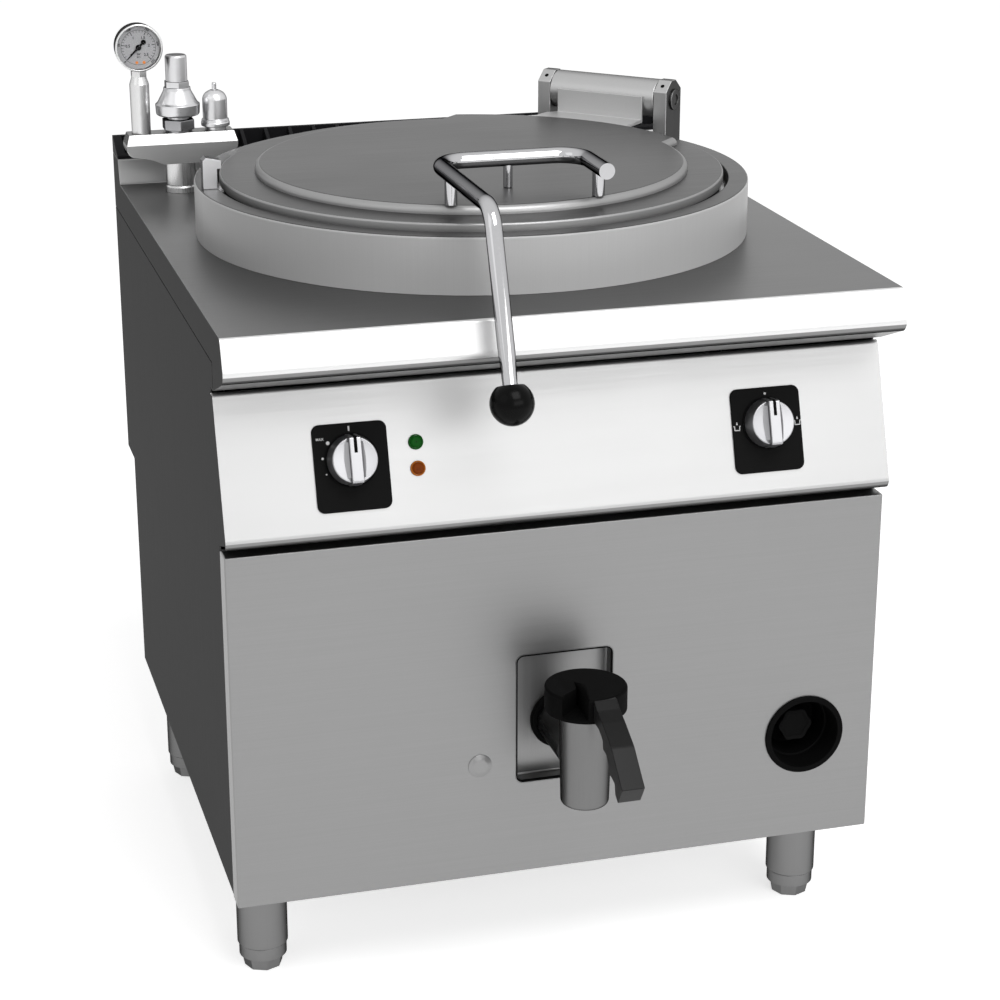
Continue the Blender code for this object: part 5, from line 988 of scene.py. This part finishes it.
valves = {
    "x": -0.3245,
    "washer": 0.0175,
    "washerThick": 0.003,
    "nut": 0.0230,
    "nutTop": 0.948,
    # radius, height and rounding down the body, the cap and the vacuum breaker
    "body": ((0, 0.9905, 0), (0.0179, 0.9905, 0.0008), (0.0183, 0.9865, 0.002), (0.02675, 0.9705, 0.004),
             (0.02975, 0.968, 0.0008), (0.02895, 0.954, 0.003), (0.02075, 0.952, 0.002),
             (0.0145, 0.953, 0.001), (0.0145, 0.948, 0), (0, 0.948, 0)),
    "hex": 0.0176,
    "hexLow": 0.9905,
    "hexTop": 0.9985,
    "cap": ((0, 1.0325, 0), (0.01145, 1.0335, 0.001), (0.01445, 1.0335, 0.003), (0.01445, 0.9988, 0.0004),
            (0, 0.9988, 0)),
    "breakerX": -0.2745,
    "breaker": ((0, 0.959, 0), (0.0033, 0.959, 0), (0.0033, 0.984, 0.0005), (0.0062, 0.984, 0.002),
                (0.0165, 0.9785, 0.0115), (0.0165, 0.946, 0.001), (0.01825, 0.945, 0.0008),
                (0.01865, 0.942, 0.0004), (0.01925, 0.941, 0.0006), (0.01925, 0.9363, 0.0012),
                (0.014, 0.9363, 0.0004), (0.014, 0.9313, 0), (0, 0.9313, 0)),
    "pin": 0.003,
    "pinFoot": 0.960,
    "pinTop": 0.994,
    "pinRound": 0.0015,
}


def makeValves():
    size = valves
    base = group["top"] + clear
    step = base + size["washerThick"]
    place = cabinetPlace @ at(size["x"], group["y"])
    upper = joined([turned(size["body"], 64), hexagon(size["hex"], size["hexLow"], size["hexTop"], 0.0005)])
    piece("safetyValveBody", upper, "root", castSteel, place, ("safety_valve_body",))
    washer = disc(size["washer"], base, step, 0.0006, steps=48)
    lower = joined([washer, hexagon(size["nut"], step, size["nutTop"], 0.0012)])
    piece("safetyValveNut", lower, "root", nutSteel, place)
    cap = turned(size["cap"], 64)
    piece("safetyValveCap", cap, "safety_valve_cap", castSteel, place, ("safety_valve_cap",))

    place = cabinetPlace @ at(size["breakerX"], group["y"])
    body = turned(size["breaker"], 64)
    piece("vacuumBreakerBody", body, "root", castSteel, place, ("vacuum_breaker_body",))
    pin = disc(size["pin"], size["pinFoot"], size["pinTop"], size["pinRound"], steps=32)
    piece("vacuumBreakerPin", pin, "vacuum_breaker_pin", castSteel, place, ("vacuum_breaker_pin",))


makeManifold()
makeGauge()
makeValves()
print("safety group")


# Control panel
controls = {
    "rake": math.radians(18.48),
    "length": 0.1739,
    "panelHalf": 0.400,
    "panelSheet": 0.0015,
    "topBend": 0.006,
    "footBend": 0.011,
    "footDrop": 0.0033,
    "foldTilt": -0.38,
    "underTilt": -0.75,
    "topReturn": 0.012,
    "footReturn": 0.035,
    "x": 0.250,
    "bezelWidth": 0.0862,
    "bezelHeight": 0.100,
    "bezelRise": 0.078,
    "bezelThick": 0.003,
    "bezelRadius": 0.009,
    "bezelEdge": 0.0012,
    "knobRise": 0.0858,
    "knobBase": 0.029,
    "knobFaceRadius": 0.0258,
    "knobFace": 0.0245,
    "knobGap": 0.0002,
    "knobRound": 0.0015,
    "dish": 0.0030,
    "grip": 0.0325,
    "gripHalf": 0.0070,
    "gripFoot": 0.004,
    "gripRound": 0.003,
    "gripEdge": 0.0013,
    "gripFlare": 0.0160,
    "gripSlope": 0.0035,
    "waist": (0.0010, 0.0028, 0.012),  # the flare's middle: past the grip, over the dish, rounding
    "crest": (0.001, 0.003),  # the flare's top: inside the grip, under its top
    "groove": 0.0019,
    "grooveEnd": 0.008,
    "grooveDepth": 0.0005,
    # a black ring and block round the knob's foot: painted shadow
    "shadowRingOver": 0.0020,
    "shadowRingThick": 0.0012,
    "notch": (0.0028, 0.0035, 0.0012),
    "shadowNotchReach": 0.0012,
    "ink": 0.00015,
    "inkUnder": 0.0002,
    "powerDots": ((140.6, 0.0021), (173, 0.0014), (205, 0.0009)),  # turn round the knob, radius
    "dotReach": 0.0331,
    "powerStroke": (-0.0005, 0.0434, 0.0018, 0.0054),  # x, y, width, height
    "fullPlace": (-0.0345, 0.0335),
    "fullSize": 0.0042,
    "bold": 0.00003,
    "waterDot": (0, 0.0424, 0.0015),
    "potPlaces": ((-0.0378, 0.0050), (0.0380, 0.0060)),
    "potStrokes": ((0, -0.0032, 0.0062, 0.0010), (-0.0031, -0.0008, 0.0010, 0.0050),
                   (0.0031, -0.0008, 0.0010, 0.0050), (-0.0038, 0.0017, 0.0016, 0.0010),
                   (0.0038, 0.0017, 0.0016, 0.0010), (0, 0.0056, 0.0008, 0.0018)),
    "potDrop": (0.0042, 0.0011),  # rise, radius
    "pilotX": -0.174,
    "greenRise": 0.0998,
    "orangeRise": 0.0697,
    "pilot": 0.0088,
    "pilotWall": 0.0018,
    "pilotHigh": 0.0022,
    "pilotInner": 0.0020,
    "lensInset": 0.0020,
    "lensTop": 0.0036,
    "lensMiddle": (0.55, 0.0034),  # share of the radius, height
    "greenSpots": ((0, 0, 0.0007, 0.0036),),  # x, y, radius, height
    "orangeSpots": ((-0.0016, -0.001, 0.0005, 0.0035), (0.0012, -0.001, 0.0005, 0.0035)),
    "foot": (-0.412027, 0.605747),  # the slope's lower edge: y, z
}
slopePlace = cabinetPlace @ at(0, *controls["foot"]) @ Matrix.Rotation(pi / 2 - controls["rake"], 4, "X")


def makeKnob(name, node, x):
    size = controls
    place = slopePlace @ at(x, size["knobRise"])
    base, radius, face, top = size["knobBase"], size["knobFaceRadius"], size["knobFace"], size["grip"]
    low = size["bezelThick"] + size["knobGap"]
    rim, bend = face - size["dish"], size["knobRound"]
    body = turned([(0, rim, 0), (radius - bend, face - 0.0004, 0.0004), (radius, face, bend),
                   (base, low + 0.0018, 0.0006), (base - 0.002, low + 0.001, 0), (0, low + 0.001, 0)])
    end, step, half = radius + 0.0002, size["gripSlope"], size["gripHalf"]
    foot, bend = low + size["gripFoot"], size["gripRound"]
    side = [(-end - step, foot, 0), (end + step, foot, 0), (end, top, bend), (-end, top, bend)]
    grip = moved(slab(side, -half, half), sideways)
    soften(grip, size["gripEdge"], 3)

    # A flare on both sides of the grip runs out into the dish.
    flare = size["gripFlare"]
    over, rise, bend = size["waist"]
    inset, under = size["crest"]
    cross = [(-flare, rim, 0), (flare, rim, 0), (half + over, rim + rise, bend),
             (half - inset, top - under, 0), (inset - half, top - under, 0), (-half - over, rim + rise, bend)]
    run = math.sqrt(radius ** 2 - flare ** 2)
    scoop = moved(slab(cross, -run, run), frontwards)
    piece(name, joined([body, grip, scoop]), node, silverPlastic, place, (node,))

    wide, start, deep, ink = size["groove"], size["grooveEnd"], size["grooveDepth"], size["ink"]
    lane = [(start, top - deep, 0), (end - 0.0010, top - deep, 0.002), (end + step - 0.0008, foot + deep, 0),
            (end + step + 0.0002, foot + deep, 0), (end + 0.0001, top + ink, 0.003), (start, top + ink, 0)]
    piece(name + "Pointer", moved(slab(lane, -wide, wide), sideways), node, softBlack, place)
    # A black ring round the knob's base and a black block under the grip's foot: painted shadow on the bezel.
    skirt = disc(base + size["shadowRingOver"], low, low + size["shadowRingThick"], 0.0003)
    notch = block(size["notch"], (0, -base - size["shadowNotchReach"], low + size["notch"][2] / 2), 0.0003, 2)
    piece(name + "Skirt", joined([skirt, notch]), node, softBlack, place)


def dot(x, y, radius, height):
    low, high = height - controls["inkUnder"], height + controls["ink"]
    return moved(disc(radius, low, high, steps=20), at(x, y))


def stroke(x, y, wide, tall, height):
    return moved(block((wide, tall, 2 * controls["ink"]), (0, 0, height)), at(x, y))


def potIcon(x, y, height):
    # An open pot with a drop over it.
    rise, radius = controls["potDrop"]
    shapes = [dot(x, y + rise, radius, height)]
    for right, up, wide, tall in controls["potStrokes"]:
        shapes.append(stroke(x + right, y + up, wide, tall, height))
    return shapes


def makeControls():
    size = controls
    foot = -size["footDrop"]
    bends = [(size["footReturn"], foot, 0), (0, foot, size["footBend"]), (0, size["length"], size["topBend"]),
             (size["topReturn"], size["length"], 0)]
    shape = bmesh.new()
    drawn(shape, [(-size["panelHalf"], along, -inward, bend) for inward, along, bend in bends], segments=8)
    pushed(shape, shape.edges[:], (2 * size["panelHalf"], 0, 0))
    faceUp(shape)
    # Faces of the bends that turn down take darker steel copies: painted shade.
    for face in shape.faces:
        tilt = face.normal.y
        face.material_index = 2 if tilt < size["underTilt"] else 1 if tilt < size["foldTilt"] else 0
    looks = (panelSteel, foldShadeSteel, underShadeSteel)
    item = piece("controlPanel", shape, "root", looks, slopePlace, ("control_panel",), outward=False)
    walled(item, size["panelSheet"])
    half, tall, radius = size["bezelWidth"] / 2, size["bezelHeight"] / 2, size["bezelRadius"]
    outline = [(-half, -tall, radius), (half, -tall, radius), (half, tall, radius), (-half, tall, radius)]
    thick = size["bezelThick"]

    def isFront(edge):
        return all(vert.co.z > thick - 0.0001 for vert in edge.verts)

    for word, x in (("Left", -size["x"]), ("Right", size["x"])):
        shape = slab(outline, clear, thick, 8)
        soften(shape, size["bezelEdge"], 3, 0.6, isFront)
        place = slopePlace @ at(x, size["bezelRise"])
        piece("bezel" + word, shape, "root", bezelPlastic, place, ("bezel_" + word.lower(),))
        if word == "Left":
            spot = at(*size["fullPlace"], thick + size["ink"])
            full = lettered("MAX", size["fullSize"], spot, size["bold"])
            marks = [stroke(*size["powerStroke"], thick), full]
            for turn, spread in size["powerDots"]:
                spot = Matrix.Rotation(math.radians(turn), 4, "Z") @ Vector((size["dotReach"], 0, 0))
                marks.append(dot(spot.x, spot.y + size["knobRise"] - size["bezelRise"], spread, thick))
        else:
            marks = [dot(*size["waterDot"], thick)]
            for x, y in size["potPlaces"]:
                marks += potIcon(x, y, thick)
        piece("bezelMarks" + word, joined(marks), "root", markWhite, place, outward=False, tidy=False)
    makeKnob("powerKnob", "power_knob", -size["x"])
    makeKnob("waterKnob", "water_knob", size["x"])

    radius, high, top = size["pilot"], size["pilotHigh"], size["lensTop"]
    bore, inner = radius - size["pilotWall"], radius - size["lensInset"]
    share, middle = size["lensMiddle"]
    ring = [(radius, high, 0.0008), (radius, clear, 0), (bore, clear, 0), (bore, size["pilotInner"], 0.0004)]
    lens = [(0, top, 0), (radius * share, middle, 0.001), (inner, high, 0.0005), (inner, clear, 0),
            (0, clear, 0)]
    # The orange pilot's rim takes the brighter orange: painted glint at its edge.
    for word, look, rim in (("green", greenLens, greenLens), ("orange", orangeLens, orangeGlintRim)):
        place = slopePlace @ at(size["pilotX"], size[word + "Rise"])
        title = word.capitalize()
        piece("pilotRim" + title, turned(ring, 48, True), "root", rim, place)
        piece("pilotLens" + title, turned(lens, 48), "root", look, place, ("pilot_light_" + word,))
        spots = [dot(*spot) for spot in size[word + "Spots"]]
        piece("pilotSpot" + title, joined(spots), "root", dialBlack, place)


makeControls()
print("controls")


# Front panel with the drain recess, plug and cup
front = {
    "y": -0.3958,
    "drainX": 0.001,
    "recessWidth": 0.120,
    "recessHeight": 0.1655,
    "recessBottom": 0.264,
    "recessDepth": 0.0227,
    "recessRadius": 0.009,
    "recessBend": 0.0025,
    "seal": 0.0014,
    "ringDepth": 0.0040,
    "ringProud": 0.0005,
    "recessSheet": 0.0015,
    "plugX": -0.1036,
    "plugHeight": 0.2928,
    "plug": 0.0145,
    "plugDome": 0.0035,
    "cupX": 0.311,
    "cupHeight": 0.282,
    "cup": 0.0509,
    "mouth": 0.0437,
    "lip": 0.003,
    "cupDepth": 0.062,
    "cupFloor": 0.036,
    "cupWall": 0.002,
    "cupBore": 0.0103,
    "wheel": 0.0225,
    "wheelThick": 0.016,
    "wheelEdge": 0.0020,
    "wheelRim": 0.004,
    "wheelDish": 0.0025,
    "standoff": 0.016,
    "lobes": 6,
    "lobeShare": 0.06,
}
frontPlace = cabinetPlace @ at(0, front["y"], 0) @ frontwards


def makeFront():
    size = front
    refined("front_panel", frontSteel)
    half, radius = size["recessWidth"] / 2 - clear, size["recessRadius"]
    low, high = size["recessBottom"] + clear, size["recessBottom"] + size["recessHeight"] - clear
    left, right, depth = size["drainX"] - half, size["drainX"] + half, size["recessDepth"]
    outline = [(left, low, radius), (right, low, radius), (right, high, radius), (left, high, radius)]
    shape = slab(outline, -depth, 0.0, 8)
    mouth = [face for face in shape.faces if abs(face.calc_center_median().z) < 0.0001]
    bmesh.ops.delete(shape, geom=mouth, context="FACES")

    def isDeep(edge):
        return all(vert.co.z < 0.0001 - depth for vert in edge.verts)

    soften(shape, size["recessBend"], 4, 0.6, isDeep)
    faceUp(shape)
    item = piece("drainRecess", shape, "root", recessSteel, frontPlace, ("drain_recess",), outward=False)
    walled(item, size["recessSheet"])

    # A thin black ring round the recess mouth.
    shape = slab(outline, -size["ringDepth"], size["ringProud"], 8)
    ends = [face for face in shape.faces if len(face.verts) > 4]
    bmesh.ops.inset_individual(shape, faces=ends, thickness=size["seal"])
    bmesh.ops.delete(shape, geom=ends, context="FACES_ONLY")
    rings = [edge for edge in shape.edges if edge.is_boundary]
    bmesh.ops.bridge_loops(shape, edges=rings)
    piece("recessDarkRing", shape, "root", softBlack, frontPlace)

    plug, dome = size["plug"], size["plugDome"]
    profile = [(0, dome, 0), (plug * 0.6, dome * 0.8, 0.004), (plug, 0.0007, 0.0008), (plug, clear, 0),
               (0, clear, 0)]
    place = frontPlace @ at(size["plugX"], size["plugHeight"])
    piece("panelPlug", turned(profile, 48), "root", frontSteel, place, ("panel_plug",))

    place = frontPlace @ at(size["cupX"], size["cupHeight"])
    outer, mouth, floor, bore = size["cup"], size["mouth"], size["cupFloor"], size["cupBore"]
    lip, deep, wide = size["lip"], -size["cupDepth"], size["cupWall"]
    ring = [(outer, lip, 0.0015), (outer, clear, 0), (mouth + wide, clear, 0), (floor + wide, deep, 0),
            (bore, deep, 0), (bore, deep + wide, 0), (floor, deep + wide, 0.004),
            (mouth - 0.004, -0.030, 0.0), (mouth - 0.002, -0.029, 0.0005), (mouth, 0, 0.001),
            (mouth, lip, 0.001)]
    piece("jacketCup", turned(ring, 96, True), "root", softBlack, place, ("jacket_cup",))

    # A lobed hand wheel with a dished face.
    shoulder, thick = wide + deep + clear + size["standoff"], size["wheelThick"]
    shape = bmesh.new()
    bmesh.ops.create_circle(shape, cap_ends=True, segments=size["lobes"] * 12, radius=size["wheel"])
    for vert in shape.verts:
        turn = math.atan2(vert.co.y, vert.co.x)
        vert.co *= 1 - size["lobeShare"] * (1 - math.cos(size["lobes"] * turn))
    raiseFaces(shape, shape.faces[:], (0, 0, thick - clear))
    soften(shape, size["wheelEdge"], 3, 0.8)
    crown = [face for face in shape.faces if face.calc_center_median().z > thick - 0.0005]
    bmesh.ops.inset_region(shape, faces=crown, thickness=size["wheelRim"])
    dished = list({vert for face in crown for vert in face.verts})
    bmesh.ops.translate(shape, vec=(0, 0, -size["wheelDish"]), verts=dished)
    place = place @ at(0, 0, shoulder + clear)
    piece("jacketValveKnob", shape, "jacket_valve_knob", bezelPlastic, place, ("jacket_valve_knob",))


# Drain valve
drain = {
    "y": -0.478,
    "spigotHeight": 0.3335,
    "spigot": 0.029,
    "spigotBore": 0.021,
    "spigotInset": 0.004,
    "spigotRear": -0.350,
    "flange": 0.036,
    "flangeThick": 0.008,
    "top": 0.3917,
    "bottom": 0.2716,
    "radius": 0.0315,
    "foot": 0.0285,
    "bore": 0.024,
    "roof": 0.0067,
    "cap": 0.0481,
    "capTop": 0.4213,
    "notchDepth": 0.024,
    "notchShares": ((-0.24, 0.20), (-0.24, -1.10), (-1.05, -0.85), (-0.30, -0.18)),
    "leverX": 0.0078,
    "leverWidth": 0.0272,
    "leverReach": 0.1516,
    "leverRoot": 0.042,
    "leverDrop": 0.0810,
    # share of the reach and of the drop: along the top, then back underneath
    "topShares": ((0.0, 0.0), (0.06, 0.0), (0.17, 0.09), (0.34, 0.18), (0.64, 0.37), (0.81, 0.57),
                  (1.0, 0.79)),
    "lowShares": ((0.87, 1.06), (0.78, 0.98), (0.76, 0.84), (0.67, 0.81), (0.57, 0.80), (0.545, 0.68),
                  (0.48, 0.57), (0.37, 0.555), (0.35, 0.43), (0.30, 0.39), (0.22, 0.34), (0.0, 0.32)),
    "bends": (0, 0, 0.010, 0.015, 0.015, 0.010, 0.001, 0.001, 0.002, 0.0015, 0.005, 0.002, 0.0015, 0.005,
              0.0015, 0.002, 0.003, 0.002, 0),
    "leverEdge": 0.0014,
}


def makeDrain():
    size = drain
    rear = -front["recessDepth"]
    outer, inner, proud = size["flange"], size["spigot"] + clear, rear + size["flangeThick"]
    ring = [(outer, proud, 0.002), (outer, rear + clear, 0), (inner, rear + clear, 0),
            (inner, proud, 0.001)]
    place = frontPlace @ at(front["drainX"], size["spigotHeight"])
    piece("drainFlange", turned(ring, 64, True), "root", softBlack, place, ("drain_flange",))

    place = cabinetPlace @ at(front["drainX"], size["y"])
    top, low, bore, cap = size["top"], size["bottom"], size["bore"], size["cap"]
    roof = top - size["roof"]
    barrel = [(0, top, 0), (size["radius"], top, 0.001), (size["foot"], low, 0.005), (bore, low, 0.001),
              (bore, roof, 0), (0, roof, 0)]
    piece("drainBarrel", turned(barrel), "root", barrelSteel, place, ("drain_body",))
    outer, inner = size["spigot"], size["spigotBore"]
    start, end = -bore / 2 - size["spigotInset"], size["y"] - size["spigotRear"]
    pipe = turned([(inner, start, 0), (outer, start, 0), (outer, end, 0), (inner, end, 0)], 64, True)
    piece("drainSpigot", pipe, "root", barrelSteel, place @ at(0, 0, size["spigotHeight"]) @ frontwards)

    base, high = top + clear, size["capTop"]
    shape = disc(cap, base, high, 0.003, 0.0008)
    item = piece("drainCap", shape, "drain_handle", softBlack, place, ("drain_cap",))
    outline = [(x * cap, y * cap, 0) for x, y in size["notchShares"]]
    cutAway(item, slab(outline, high - size["notchDepth"], high + 0.004), place)

    root, span, drop = size["leverRoot"], size["leverReach"] - size["leverRoot"], size["leverDrop"]
    shares = size["topShares"] + size["lowShares"]
    side = [(-root - share * span, high - fall * drop, bend)
            for (share, fall), bend in zip(shares, size["bends"])]
    half = size["leverWidth"] / 2
    shape = moved(slab(side, size["leverX"] - half, size["leverX"] + half, 5), sideways)
    soften(shape, size["leverEdge"], 3, 0.6)
    item = piece("drainLever", shape, "drain_handle", blackPlastic, place, ("drain_lever",))
    cutAway(item, disc(cap + clear, base - drop, high + 0.01), place)


makeFront()
makeDrain()
print("front")


# Base, legs and feet
legs = {
    "x": 0.3514,
    "frontY": -0.275,
    "rearY": 0.291,
    "radius": 0.0314,
    "bottom": 0.033,
    "top": 0.151,
    "collar": 0.0295,
    "soleHeight": 0.016,
    "soleTop": 0.0268,
    "sole": 0.0235,
    "stem": 0.012,
    "tray": 0.150,
    "trayRim": 0.030,
    "traySheet": 0.002,
    "trayFront": -0.367,
    "trayRear": 0.3712,
    "trayBend": 0.002,
    "sideGap": 0.0018,
    "socket": 0.009,
    "stemTop": 0.041,
}


def makeBase():
    size = legs
    half, tray, rim = cabinet["halfWidth"] - size["sideGap"], size["tray"], size["trayRim"]
    middle, depth = (size["trayFront"] + size["trayRear"]) / 2, size["trayRear"] - size["trayFront"]
    shape = block((2 * half, depth, rim), (0, middle, tray + rim / 2))
    above = [face for face in shape.faces if face.calc_center_median().z > tray + rim - 0.0001]
    bmesh.ops.delete(shape, geom=above, context="FACES")
    soften(shape, size["trayBend"], 2)
    item = piece("baseTray", shape, "root", darkSteel, cabinetPlace, ("base_frame",), outward=False)
    walled(item, size["traySheet"])

    radius, stem, neck, step = size["radius"], size["stem"], size["collar"], size["soleHeight"]
    top, low, bore = size["top"], size["bottom"], size["stem"] + clear
    roof, seat = low + size["socket"], low - clear
    leg = [(0, top, 0), (radius, top, 0), (radius, low, 0.0010), (bore, low, 0), (bore, roof, 0),
           (0, roof, 0)]
    foot = [(0, size["stemTop"], 0), (stem, size["stemTop"], 0), (stem, seat, 0), (neck, seat, 0.002),
            (neck, step, 0.0006), (0, step, 0)]
    for row, side, x in (("front", "left", -1), ("front", "right", 1), ("rear", "left", -1),
                         ("rear", "right", 1)):
        place = cabinetPlace @ at(x * size["x"], size[row + "Y"])
        word, node = row.capitalize() + side.capitalize(), "foot_" + row + "_" + side
        piece("leg" + word, turned(leg, 64), "root", legSteel, place)
        sole = bmesh.new()
        bmesh.ops.create_cone(sole, cap_ends=True, segments=8, radius1=size["sole"], radius2=size["soleTop"],
                              depth=step)
        bmesh.ops.translate(sole, vec=(0, 0, step / 2), verts=sole.verts)
        soften(sole, 0.0007, 2)
        piece("foot" + word, joined([turned(foot, 64), sole]), node, legSteel, place, (node,))


makeBase()
print("base")


# Floor, world, lamps and camera
studio = {
    "floorTone": 0.93,
    "floorGlow": 0.64,
    "ambient": 0.38,
    "aim": (0.0, 0.0, 0.55),
    # name: distance, azimuth from the front, elevation, width, height, radiance
    "lamps": {
        "frontStrip": (4.2, 17, 19, 3.4, 1.30, 2.4),
        "keyFront": (4.5, 14, 55, 2.6, 2.6, 5.0),
        "fillLeft": (4.5, -65, 35, 2.6, 2.6, 0.4),
    },
}
view = {
    "place": (-0.80995, -2.87843, 1.58237),
    "tilt": math.radians(90 - 19.62),
    "turn": math.radians(-15.82),
    "lens": 89.295,
    "sensor": 36.0,
}


def directView(nodes, links):
    # 1 for what the camera sees, also in metal and through glass.
    path = nodes.new("ShaderNodeLightPath")
    metal = nodes.new("ShaderNodeMath")
    metal.operation = "MAXIMUM"
    glass = nodes.new("ShaderNodeMath")
    glass.operation = "MAXIMUM"
    links.new(path.outputs["Is Camera Ray"], metal.inputs[0])
    links.new(path.outputs["Is Glossy Ray"], metal.inputs[1])
    links.new(metal.outputs[0], glass.inputs[0])
    links.new(path.outputs["Is Transmission Ray"], glass.inputs[1])
    return glass.outputs[0]


def makeStudio():
    scene = bpy.context.scene
    world = bpy.data.worlds.new("studioWorld")
    scene.world = world
    world.use_nodes = True
    nodes, links = world.node_tree.nodes, world.node_tree.links
    background = nodes["Background"]
    level = nodes.new("ShaderNodeMapRange")
    level.inputs["To Min"].default_value = studio["ambient"]
    level.inputs["To Max"].default_value = 1.0
    links.new(directView(nodes, links), level.inputs["Value"])
    links.new(level.outputs["Result"], background.inputs["Strength"])
    background.inputs["Color"].default_value = (1, 1, 1, 1)

    floor = bpy.data.materials.new("paleFloor")
    floor.use_nodes = True
    shader = floor.node_tree.nodes["Principled BSDF"]
    tone = studio["floorTone"]
    shader.inputs["Base Color"].default_value = (tone, tone, tone, 1)
    shader.inputs["Roughness"].default_value = 0.9
    shader.inputs["Specular IOR Level"].default_value = 0.0
    shader.inputs["Emission Color"].default_value = (1, 1, 1, 1)
    floorNodes, floorLinks = floor.node_tree.nodes, floor.node_tree.links
    glow = floorNodes.new("ShaderNodeMapRange")
    glow.inputs["To Max"].default_value = studio["floorGlow"]
    floorLinks.new(directView(floorNodes, floorLinks), glow.inputs["Value"])
    floorLinks.new(glow.outputs["Result"], shader.inputs["Emission Strength"])
    shape = bmesh.new()
    bmesh.ops.create_circle(shape, cap_ends=True, segments=64, radius=30)
    data = bpy.data.meshes.new("floor")
    shape.to_mesh(data)
    shape.free()
    data.materials.append(floor)
    ground = bpy.data.objects.new("floor", data)
    scene.collection.objects.link(ground)

    aim = Vector(studio["aim"])
    for name, (distance, azimuth, elevation, width, height, radiance) in studio["lamps"].items():
        lamp = bpy.data.lights.new(name, "AREA")
        lamp.shape = "RECTANGLE"
        lamp.size = width
        lamp.size_y = height
        lamp.energy = radiance * pi * width * height
        item = bpy.data.objects.new(name, lamp)
        turn, rise = math.radians(azimuth), math.radians(elevation)
        outward = Vector((math.sin(turn) * math.cos(rise), -math.cos(turn) * math.cos(rise), math.sin(rise)))
        item.location = aim + outward * distance
        item.rotation_euler = outward.to_track_quat("Z", "Y").to_euler()
        scene.collection.objects.link(item)

    camera = bpy.data.cameras.new("camera")
    camera.lens = view["lens"]
    camera.sensor_width = view["sensor"]
    item = bpy.data.objects.new("camera", camera)
    item.location = view["place"]
    item.rotation_euler = (view["tilt"], 0, view["turn"])
    scene.collection.objects.link(item)
    scene.camera = item
    scene.view_settings.view_transform = "Standard"


makeStudio()
print("studio")
